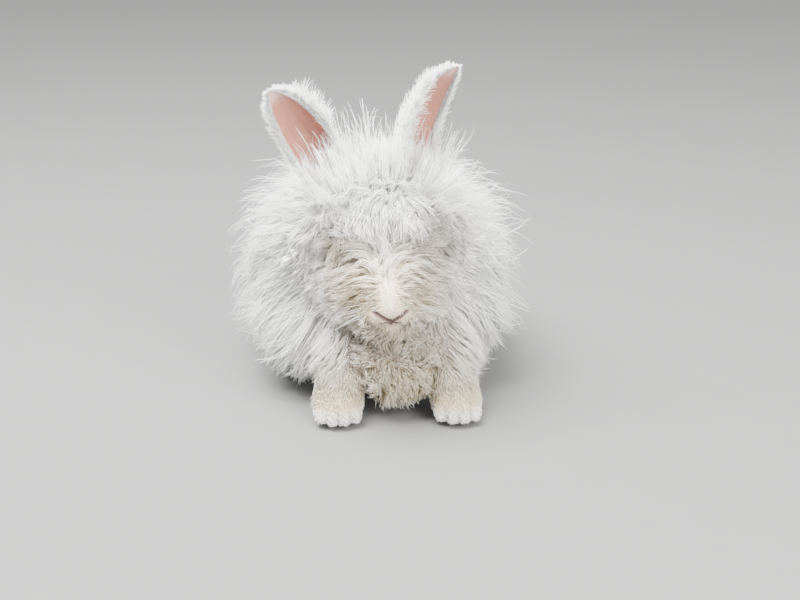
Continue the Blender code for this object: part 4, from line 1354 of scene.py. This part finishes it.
# %% Wool that hangs to the floor
def on_skirt(points, normals):
    """The lowest hand's breadth of the flanks and the rump, and higher and thicker beside the forelegs."""
    ahead = 1 - ramp(points[:, 1], -0.020, 0.020)
    low = 1 - ramp(points[:, 2] - 0.036 * ahead, 0.052, 0.070)
    side = ramp(np.maximum(np.abs(points[:, 0]), points[:, 1] - 0.02), 0.030, 0.045)
    down = ramp(normals[:, 2], -0.90, -0.60)
    return (1 + 1.5 * ahead) * ramp(points[:, 1], -0.095, -0.075) * low * down * side


def skirt_lie(points):
    """Straight down, with a little to the side, and more so beside the forelegs."""
    ahead = 1 - ramp(points[:, 1], -0.040, 0.010)
    return lie_of((0.30 + 0.30 * ahead) * aside(points, 0.04), 0.12 - 0.10 * ahead, -1.0)


def skirt_length(points):
    """46 mm at the rump, 64 mm beside the forelegs."""
    return 0.046 + 0.018 * (1 - ramp(points[:, 1], -0.020, 0.020))


coats.append(grow_wool("wool_skirt", "body", on_skirt, skirt_lie, 620, 4800, 0.0014, seed=46,
                       length=skirt_length, lift=(60, 6), wander=0.40, clump=0.45, loose=(0.004, 0.024),
                       profile=FINE))

# %% [markdown]
# ## The tuft between the ears
#
# A fringe of fine hair rises between the ears, and a few long hairs stand well above it. They are thin
# enough to let the light through, so they are grown apart from the crown, in two lengths.

# %% Wool between the ears
def fringe_lie(points):
    """Up and outwards beside and between the ears."""
    return lie_of(0.5 * aside(points, 0.06), 0.15, 1.0)


def on_top(points, normals):
    """The crown between the ears."""
    between = ramp(points[:, 2], 0.160, 0.170) * ramp(points[:, 1], -0.112, -0.100)
    return on_crown(points, normals) * between


coats += [
    grow_wool("wool_top", "body", on_top, fringe_lie, 130, 1900, 0.0009, seed=56, lift=(85, 62),
              length=even(0.050), wander=0.50, wave=0.0030, loose=(0.016, 0.038), clump=0.50,
              profile=FINE),
    grow_wool("wool_top_wisps", "body", on_top, fringe_lie, 60, 300, 0.00060, seed=58, lift=(88, 66),
              length=even(0.074), wander=0.50, wave=0.0025, spread=0.0045, loose=(0.022, 0.050),
              clump=0.40, profile=HAIR),
]

# %% [markdown]
# ## The wool of the cheeks and the muzzle
#
# The muzzle's wool starts a few millimetres long beside the nose and gets longer backwards, and the
# cheeks carry it on down to the throat. It keeps clear of the nostrils, the lips and the lids, because
# on the animal the skin there is bare, and any strand across them would hide the whole expression.

# %% Wool of the cheeks and the muzzle
def eye_room(points):
    """0 at the lids, and 1 from a centimetre away."""
    away = np.minimum(*[np.linalg.norm(points - posed(EYES[side]) - look_of(side) * EYE_RADIUS, axis=1)
                        for side in (-1, 1)])
    return ramp(away, 0.004, 0.011)


def on_muzzle_side(points, normals):
    """The sides of the face, from beside the nose to the cheeks, with little at the eyes."""
    up = from_nose(points)
    side = ramp(np.abs(points[:, 0]), 0.002, 0.008) * ramp(up, -0.004, 0.008)
    side *= 1 + 1.2 * (1 - ramp(up, 0.012, 0.030))
    low = 1.5 * ramp(-points[:, 2], -0.098, -0.090) * ramp(up, -0.020, -0.008)
    bridge = 0.35 * ramp(up, 0.006, 0.020)
    front = (1 - ramp(up, 0.066, 0.078)) * (points[:, 1] < -0.09) * ramp(points[:, 2], 0.064, 0.070)
    clear = (0.15 + 0.85 * eye_room(points)) * ramp(openings(points), 0.0015, 0.0040)
    return np.maximum(np.maximum(side, low), bridge) * front * clear


def face_wool_length(points):
    """8 mm beside the nose, 28 mm at the cheeks, and 8 mm more under them."""
    low = (1 - ramp(points[:, 2], 0.092, 0.108)) * ramp(np.abs(points[:, 0]), 0.006, 0.012)
    return 0.008 + 0.020 * ramp(from_nose(points), -0.002, 0.036) + 0.008 * low


coats += [
    grow_wool("wool_cheeks", "body", on_cheek, cheek_lie, 560, 7500, 0.0012, seed=61, lift=(50, 0),
              wander=0.55, wave=0.0020, clump=0.62, loose=(-0.002, 0.008), profile=FINE),
    grow_wool("wool_face", "body", on_muzzle_side, face_lie, 640, 8700, 0.00085, seed=66, lift=(50, 2),
              length=face_wool_length, wander=0.50, wave=0.0012, clump=0.62, loose=(0.004, 0.011),
              spread=0.0012, profile=FINE),
]

# %% [markdown]
# ## The matted bib
#
# Under the chin the wool is felted to a crust of small curls, and below it a wedge hangs between the
# forelegs. Felt could be a lumpy surface with a bump, but at this size its edge shows single curls, so
# it's wool like the rest: short, strongly waved and drawn together in tight locks.

# %% Curls of the bib
def on_mat(points, normals):
    """The bib's front and sides."""
    return (normals[:, 1] < 0.4) * (0.3 + 0.7 * ramp(points[:, 2], 0.030, 0.044))


def mat_lie(points):
    """Out to both sides on the crust, and straight down below it."""
    low = 1 - ramp(points[:, 2], 0.040, 0.054)
    side = aside(points - [0.009, 0, 0], 0.03)
    return lie_of((0.9 - 0.7 * low) * side, -0.9 + 0.6 * low, 0.10 - 1.10 * low)


def mat_length(points):
    """Curls of 15 mm on the crust, 18 mm where they hang."""
    return 0.015 + 0.003 * (1 - ramp(points[:, 2], 0.034, 0.046))


coats.append(grow_wool("wool_mat", "bib", on_mat, mat_lie, 420, 4400, 0.0011, seed=71, length=mat_length,
                       lift=(60, 2), wander=1.20, clump=0.80, spread=0.0012, wave=0.0050,
                       loose=(0.002, 0.015), profile=FINE))

# %% [markdown]
# ## Loose wisps and the forelegs' wool
#
# Single long hairs stray from the coat and break its outline, which tells the eye how soft it is. Above
# the paws the forelegs' wool gets longer towards the elbow and mixes with the skirt, so that the leg
# comes out of the coat without an edge.

# %% Wisps and wool of the forelegs
def wispy_lie(points):
    """Outwards everywhere, upwards high on the body and backwards and down low on it."""
    high = ramp(points[:, 2], 0.110, 0.160)
    return lie_of(1.0 * aside(points, 0.03), 0.15 - 0.3 * high, -0.55 + 1.0 * high)


def on_upper_body(points, normals):
    """The body from above the skirt."""
    return on_body(points, normals) * (points[:, 2] > 0.06)


def on_upper_leg(points, normals):
    """The foreleg above the paw, with little behind the bib."""
    beside_bib = ramp(np.abs(points[:, 0] - 0.009), 0.034, 0.046)
    behind = (1 - beside_bib) * ramp(points[:, 2], 0.036, 0.046)
    return ramp(points[:, 2], 0.024, 0.036) * (1 - 0.85 * behind)


def trouser_lie(points):
    """Down and outwards over the foreleg."""
    return lie_of(0.40 * aside(points, 0.04), -0.10, -1.0)


def trouser_length(points):
    """8 mm above the paw, 28 mm at the elbow."""
    return 0.008 + 0.020 * ramp(points[:, 2], 0.034, 0.064)


def trouser_lift(points):
    """Lying close above the paw, and standing out more towards the elbow."""
    high = ramp(points[:, 2], 0.036, 0.060)
    return 36 + 24 * high, 0 + 12 * high


coats.append(grow_wool("wool_wisps", "body", on_upper_body, wispy_lie, 420, 1200, 0.00060, seed=76,
                       lift=(70, 10), length=even(0.070), wander=0.5, clump=0.5, spread=0.0040,
                       wave=0.0020, loose=(0.004, 0.013), profile=HAIR))
for k, side in enumerate((-1, 1)):
    limb = "front_leg_" + SIDE_NAME[side]
    coats.append(grow_wool("wool_" + limb, limb, on_upper_leg, trouser_lie, 260, 2300, 0.0010, seed=84 + k,
                           length=trouser_length, lift=trouser_lift, wander=0.30, wave=0.0018,
                           clump=0.40, loose=(0.002, 0.013), profile=FINE))

# %% [markdown]
# ## The short fur
#
# Face and feet have short, soft fur that lies close. It breaks the outline by a millimetre or two,
# so it is made of small tufts, thick set, and gets longer from the nose to the brow and the cheeks.

# %% Fur of the face and the legs
def on_face(points, normals):
    """The face in front of the crown and the cheeks, but not the nose, the lips or the slits."""
    clear = ramp(openings(points), 0.0006, 0.0016)
    from_tip = (((points - NOSE - [0, -0.001, -0.002]) / [0.0070, 0.0060, 0.0050]) ** 2).sum(axis=1)
    front = 1 - ramp(from_nose(points), 0.074, 0.086)
    of_face = (points[:, 1] < -0.09) * (points[:, 2] > 0.064)
    return clear * (1 - 0.6 * np.exp(-from_tip ** 2)) * front * of_face


def on_foot(points, normals):
    """All of a leg but its sole."""
    return (normals[:, 2] > -0.85) + 0.02


def leg_lie(points):
    """Down the leg and forwards over the toes."""
    low = 1 - ramp(points[:, 2], 0.015, 0.035)
    return lie_of(0.0, -0.25 - 0.9 * low, -1.0 + 0.6 * low)


def grow_fur(name, part, chance, lie, count, length_at, lift, width, seed, wander=0.30):
    """Short tufts, each with a path of its own of two steps."""
    roots, normals, flat, rng = roots_on(grids[part], part, chance, count, seed)
    length = length_at(roots) * rng.uniform(0.75, 1.25, count)
    flow = lie(roots) + wander * swirl(roots, 0.006, seed) + wander * 0.6 * rng.normal(0, 1, (count, 3))
    flow = unit(flow - normals * np.sum(flow * normals, axis=1, keepdims=True))
    first, second = (np.radians(angle) for angle in lift)
    middle = roots + (flow * np.cos(first) + normals * np.sin(first)) * (length * 0.45)[:, None]
    tip = middle + (flow * np.cos(second) + normals * np.sin(second)) * (length * 0.55)[:, None]
    along = np.stack([roots - normals * 0.0004, middle, tip], axis=1)
    along[..., 2] = np.maximum(along[..., 2], 0.0005)
    corners, faces = spindles(along, normals, width * rng.uniform(0.7, 1.3, count), 0.5, TUFT)
    tone = marked(along.reshape(-1, 3)).reshape(along.shape) * (1 + rng.normal(0, 0.03, (count, 1, 1)))
    # Painted shade: a tuft is darker at its root (0.90) than at its middle and tip, for the shade down in
    # the fur.
    tone = np.clip(tone * np.array([0.90, 1.0, 1.02])[None, :, None], 0, BRIGHTEST)
    made = coat_piece(name, corners, faces, flat, repeated(tone), wool_finish)
    print(name, len(faces), "faces in", count, "tufts")
    return made


def paw_length(points):
    """3 mm on the toes, 7 mm up the leg."""
    return 0.0030 + 0.0040 * np.maximum(ramp(points[:, 2], 0.016, 0.032), ramp(points[:, 1], -0.128, -0.112))


def face_length(points):
    """From 2 mm at the nose to 8 mm at the brow and the cheeks."""
    return 0.0022 + 0.0060 * ramp(from_nose(points), 0.010, 0.060)


coats.append(grow_fur("fur_face", "body", on_face, face_lie, 6600, face_length, (30, 10), 0.00065, 81))
for k, side in enumerate((-1, 1)):
    for limb, tufts in (("front_leg_", 3600), ("hind_leg_", 900)):
        part = limb + SIDE_NAME[side]
        coats.append(grow_fur("fur_" + part, part, on_foot, leg_lie, tufts, paw_length, (30, 12), 0.00090,
                              91 + k))

# %% [markdown]
# ## Wool on the ears
#
# English angoras wear fringes and tassels on their ears. Short fur covers the back, and long soft
# locks stand out along the rim, longest in the upper half of the inner edge, and curl a little. A strip
# of cards along the rim would look right from the front, and like a comb from the side.

# %% Strands that grow from an ear
BUNCHES = 46    # locks along one ear's rim
FRINGE = 1900   # long strands in them
BAND = 1600     # short strands along the rim
COVER = 650     # short tufts on the back


def ear_strands(side, rng, t, s, length, outwards, upwards, sag, width, curl):
    """Strands that start t of the way up an ear and s of the way across it.

    Each leaves along a mix of outwards, upwards and a little backwards, then sags and curls. Comes
    back as paths, the directions of the ear's back there, places on the unwrap, and widths.
    """
    _, axis, front, _ = ear_axis(side)
    left, bottom, wide, high = UNWRAP["ear_" + SIDE_NAME[side]]
    outwards, upwards, sag = (np.broadcast_to(part, t.shape) for part in (outwards, upwards, sag))
    here = ear_sheet(side, t, s)
    edge = unit(here - ear_sheet(side, t, s * 0.8))
    back = unit(np.cross(edge, np.broadcast_to(axis, edge.shape)))
    back = back * np.where(np.sum(back * -front, axis=1) > 0, 1, -1)[:, None]
    flow = unit(edge * outwards[:, None] + axis * upwards[:, None] + back * 0.25
                + rng.normal(0, 0.16, (len(t), 3)))
    share = np.linspace(0, 1, 5)[None, :, None]
    path = here[:, None] - flow[:, None] * 0.001 + flow[:, None] * length[:, None, None] * share
    path += np.array([0, 0, -1.0]) * (sag * length)[:, None, None] * share ** 2
    swing = unit(rng.normal(0, 1, (len(t), 3)))[:, None]
    path += swing * (curl * share * np.sin(share * 6 + rng.uniform(0, 6, (len(t), 1, 1))))
    flat = np.stack([left + wide * (s + 1) / 2, bottom + high * t], axis=1)
    return path, back, flat, width * rng.uniform(0.7, 1.3, len(t))


def inner_edge(side):
    """Which of the sheet's two edges, 1 or -1, faces the other ear."""
    middle, edge = ear_sheet(side, np.array([0.5, 0.5]), np.array([0.0, 1.0]))
    return 1.0 if (edge[0] - middle[0]) * side < 0 else -1.0


print("inner edges:", {SIDE_NAME[side]: inner_edge(side) for side in (-1, 1)})

# %% [markdown]
# ## Fringe, rim and cover of an ear
#
# Three kinds of strands make an ear's coat: the fringe in its locks, a close band that rounds the
# rim, and a cover of short tufts on the back. They are one mesh, because they are one fur, and
# splitting it would show as a seam. All get shorter near the tip, or the ear would end in a brush.

# %% Wool of the ears
def fringe_of(side, rng):
    """Long strands in locks, four in five of them along the inner edge."""
    inner = inner_edge(side)
    bunch = np.sort(rng.uniform(0.10, 0.955, BUNCHES))
    t = np.clip(bunch[rng.integers(0, BUNCHES, FRINGE)] + rng.normal(0, 0.009, FRINGE), 0.05, 0.985)
    medial = rng.random(FRINGE) < 0.80
    s = np.where(medial, inner, -inner) * rng.uniform(0.90, 1.0, FRINGE)
    long = 0.017 + 0.011 * ramp(t, 0.15, 0.5) - 0.020 * ramp(t, 0.78, 0.96)
    length = np.where(medial, long, 0.0035) * rng.uniform(0.45, 1.20, FRINGE)
    return ear_strands(side, rng, t, s, length, 0.80, 0.75 - 0.3 * ramp(t, 0.8, 1), 0.22, 0.00050, 0.0024)


def band_of(side, rng):
    """Short strands up both edges, that round the rim."""
    t = rng.uniform(0.02, 0.99, BAND)
    s = np.sign(rng.normal(0, 1, BAND)) * rng.uniform(0.83, 1.0, BAND)
    length = (0.0080 + 0.003 * rng.random(BAND)) * (1 - 0.6 * ramp(t, 0.82, 0.99))
    outwards = 0.10 + 0.20 * rng.random(BAND)
    return ear_strands(side, rng, t, s, length, outwards, 1.0, 0.02, 0.00110, 0.0006)


def cover_of(side, rng):
    """Short tufts that lie flat up the back."""
    t = rng.uniform(0.0, 0.97, COVER)
    s = rng.uniform(-0.85, 0.85, COVER)
    length = (0.010 + 0.004 * rng.random(COVER)) * (1 - 0.5 * ramp(t, 0.80, 0.97))
    return ear_strands(side, rng, t, s, length, 0.05, 1.0, 0.05, 0.00150, 0.0006)


def ear_wool(side, seed):
    """All the strands of one ear as one mesh."""
    rng = np.random.default_rng(seed)
    name = "wool_ear_" + SIDE_NAME[side]
    kinds = fringe_of(side, rng), band_of(side, rng), cover_of(side, rng)
    path, back, flat, wide_of = (np.concatenate(three) for three in zip(*kinds))
    # The band lies on both faces of the ear, six in ten on the front, and the cover on the back.
    shift = np.where(rng.random(BAND) < 0.6, -0.0012, 0.0010)
    shift = np.concatenate([np.zeros(FRINGE), shift, np.full(COVER, 0.0009)])
    facing = back * np.where(shift < 0, -1.0, 1.0)[:, None]
    path += back[:, None] * shift[:, None, None] * np.array([0.8, 1.3, 1.7, 2.0, 2.0])[None, :, None]
    corners, faces = spindles(held_in(path[:, (0, 1, 3, 4)]), facing, wide_of, 0.45, FINE)
    tone = np.array(WOOL_WHITE) * (1 + rng.normal(0, 0.03, (len(path), 1)))
    colour = np.clip(np.repeat(tone[:, None], corners.shape[1], axis=1), 0, 0.93)
    made = coat_piece(name, corners, faces, flat, colour, wool_finish)
    print(name, len(faces), "faces")
    return made


for side in (-1, 1):
    coats.append(ear_wool(side, 120 + side))
print("pieces of coat:", len(coats))

# %% [markdown]
# ## Whiskers
#
# A few long white hairs stand out from the cushions on both sides of the nose. They are single
# tapered hairs, so the same spindle serves, with no thickness to spare.

# %% Whiskers as one piece
WHISKERS = 26
WHISKER_WIDE = 0.00028
WHISKER_WHITE = 0.86


def whisker_paths(count, seed):
    """Starts on the muzzle's sides, and gentle arcs outwards, back and down."""
    rng = np.random.default_rng(seed)
    side = np.where(np.arange(count) % 2 == 0, -1.0, 1.0)
    start = posed(np.stack([side * rng.uniform(0.012, 0.017, count), rng.uniform(-0.156, -0.149, count),
                            rng.uniform(0.100, 0.109, count)], axis=1))
    way = unit(lie_of(side * 0.9, rng.uniform(-0.15, 0.35, count), rng.uniform(-0.30, 0.30, count)))
    share = np.linspace(0, 1, 5)[None, :, None]
    length = rng.uniform(0.024, 0.040, count)[:, None, None]
    path = start[:, None] + way[:, None] * length * share + np.array([0, 0.25, -0.35]) * length * share ** 2
    return path, way


path, way = whisker_paths(WHISKERS, 140)
facing = np.broadcast_to([0.0, 0.0, 1.0], way.shape)
corners, faces = spindles(path, facing, np.full(WHISKERS, WHISKER_WIDE), 0.8, STRAND)
flat = np.stack([np.linspace(0.05, 0.6, WHISKERS), np.full(WHISKERS, 0.02)], axis=1)
pale = np.full((*corners.shape[:2], 3), WHISKER_WHITE)
coat_piece("whiskers", corners, faces, flat, pale, wool_finish)
print("whiskers:", WHISKERS)

# %% [markdown]
# ## The floor
#
# The photo's rabbit sits on bare ground. A plain pale floor takes its place, with a little grain so
# that it doesn't look like paper, because the ground isn't part of the animal.

# %% Floor
FLOOR_SIZE = 6.0
FLOOR_GREY = 0.12


def flat_square(name, size):
    """A floor as a single face."""
    corners = np.array([[-1, -1, 0], [1, -1, 0], [1, 1, 0], [-1, 1, 0]], float) * size / 2
    return piece_of(name, corners, np.array([[0, 1, 2], [0, 2, 3]]), colour=np.full((4, 3), FLOOR_GREY))


floor = flat_square("floor", FLOOR_SIZE)
floor_finish = finish("pale_floor", 0.8, grain=(30.0, 0.03))
floor.data.materials.append(floor_finish)
print("floor:", FLOOR_SIZE, "m wide")

# %% [markdown]
# ## Light
#
# The photo was taken outdoors in flat daylight. A broad soft lamp overhead, a weaker one beside the
# camera and a pale sky give the same gentle shadows under the chin and between the forelegs. White
# wool gets most of its brightness from light that has bounced inside it, so more bounces are allowed
# than usual, or it would turn grey.

# %% Lamps and sky
SKY_COLOUR = (0.90, 0.90, 0.89, 1.0)
SKY_STRENGTH = 2.15


def soft_light(name, place, aim, size, power, colour):
    """A square lamp that faces a point."""
    lamp = bpy.data.lights.new(name, "AREA")
    lamp.size = size
    lamp.energy = power
    lamp.color = colour
    made = bpy.data.objects.new(name, lamp)
    bpy.context.scene.collection.objects.link(made)
    made.location = place
    away = np.array(aim) - np.array(place)
    made.rotation_euler = (math.atan2(math.hypot(away[0], away[1]), -away[2]), 0,
                           math.atan2(away[0], -away[1]) + math.pi)
    return made


soft_light("sky", (-0.5, -0.3, 1.8), (0, -0.02, 0.1), 1.4, 310.0, (1.0, 0.995, 0.98))
soft_light("front", (0.9, -1.5, 0.9), (0, -0.05, 0.12), 1.0, 95.0, (1.0, 0.985, 0.96))
world = bpy.context.scene.world or bpy.data.worlds.new("World")
bpy.context.scene.world = world
world.use_nodes = True
world.node_tree.nodes["Background"].inputs["Color"].default_value = SKY_COLOUR
world.node_tree.nodes["Background"].inputs["Strength"].default_value = SKY_STRENGTH
bpy.context.scene.cycles.max_bounces = 14
bpy.context.scene.cycles.diffuse_bounces = 10
print("lights: sky and front")

# %% [markdown]
# ## Camera
#
# The photo was taken from close in front of the rabbit and a little above its head. The camera is
# placed by an aim on the chest, a distance, a turn and a rise, because these can be read off the
# photo one after another, where a bare position in space can't.

# %% Camera
CAMERA_AIM = np.array([0.008, -0.160, 0.114])
CAMERA_AWAY = 1.10
CAMERA_TURN = -4.0    # degrees round the rabbit, towards its right
CAMERA_RISE = 18.0    # degrees above the level
lens = bpy.data.cameras.new("camera")
lens.lens = 66.0
lens.sensor_width = 36.0
lens.clip_start = 0.01
camera = bpy.data.objects.new("camera", lens)
bpy.context.scene.collection.objects.link(camera)
turn, rise = math.radians(CAMERA_TURN), math.radians(CAMERA_RISE)
camera.location = CAMERA_AIM + CAMERA_AWAY * np.array(
    [math.sin(turn) * math.cos(rise), -math.cos(turn) * math.cos(rise), math.sin(rise)])
camera.rotation_euler = (math.pi / 2 - rise, 0, turn)
bpy.context.scene.camera = camera
print("camera at", [round(v, 3) for v in camera.location])
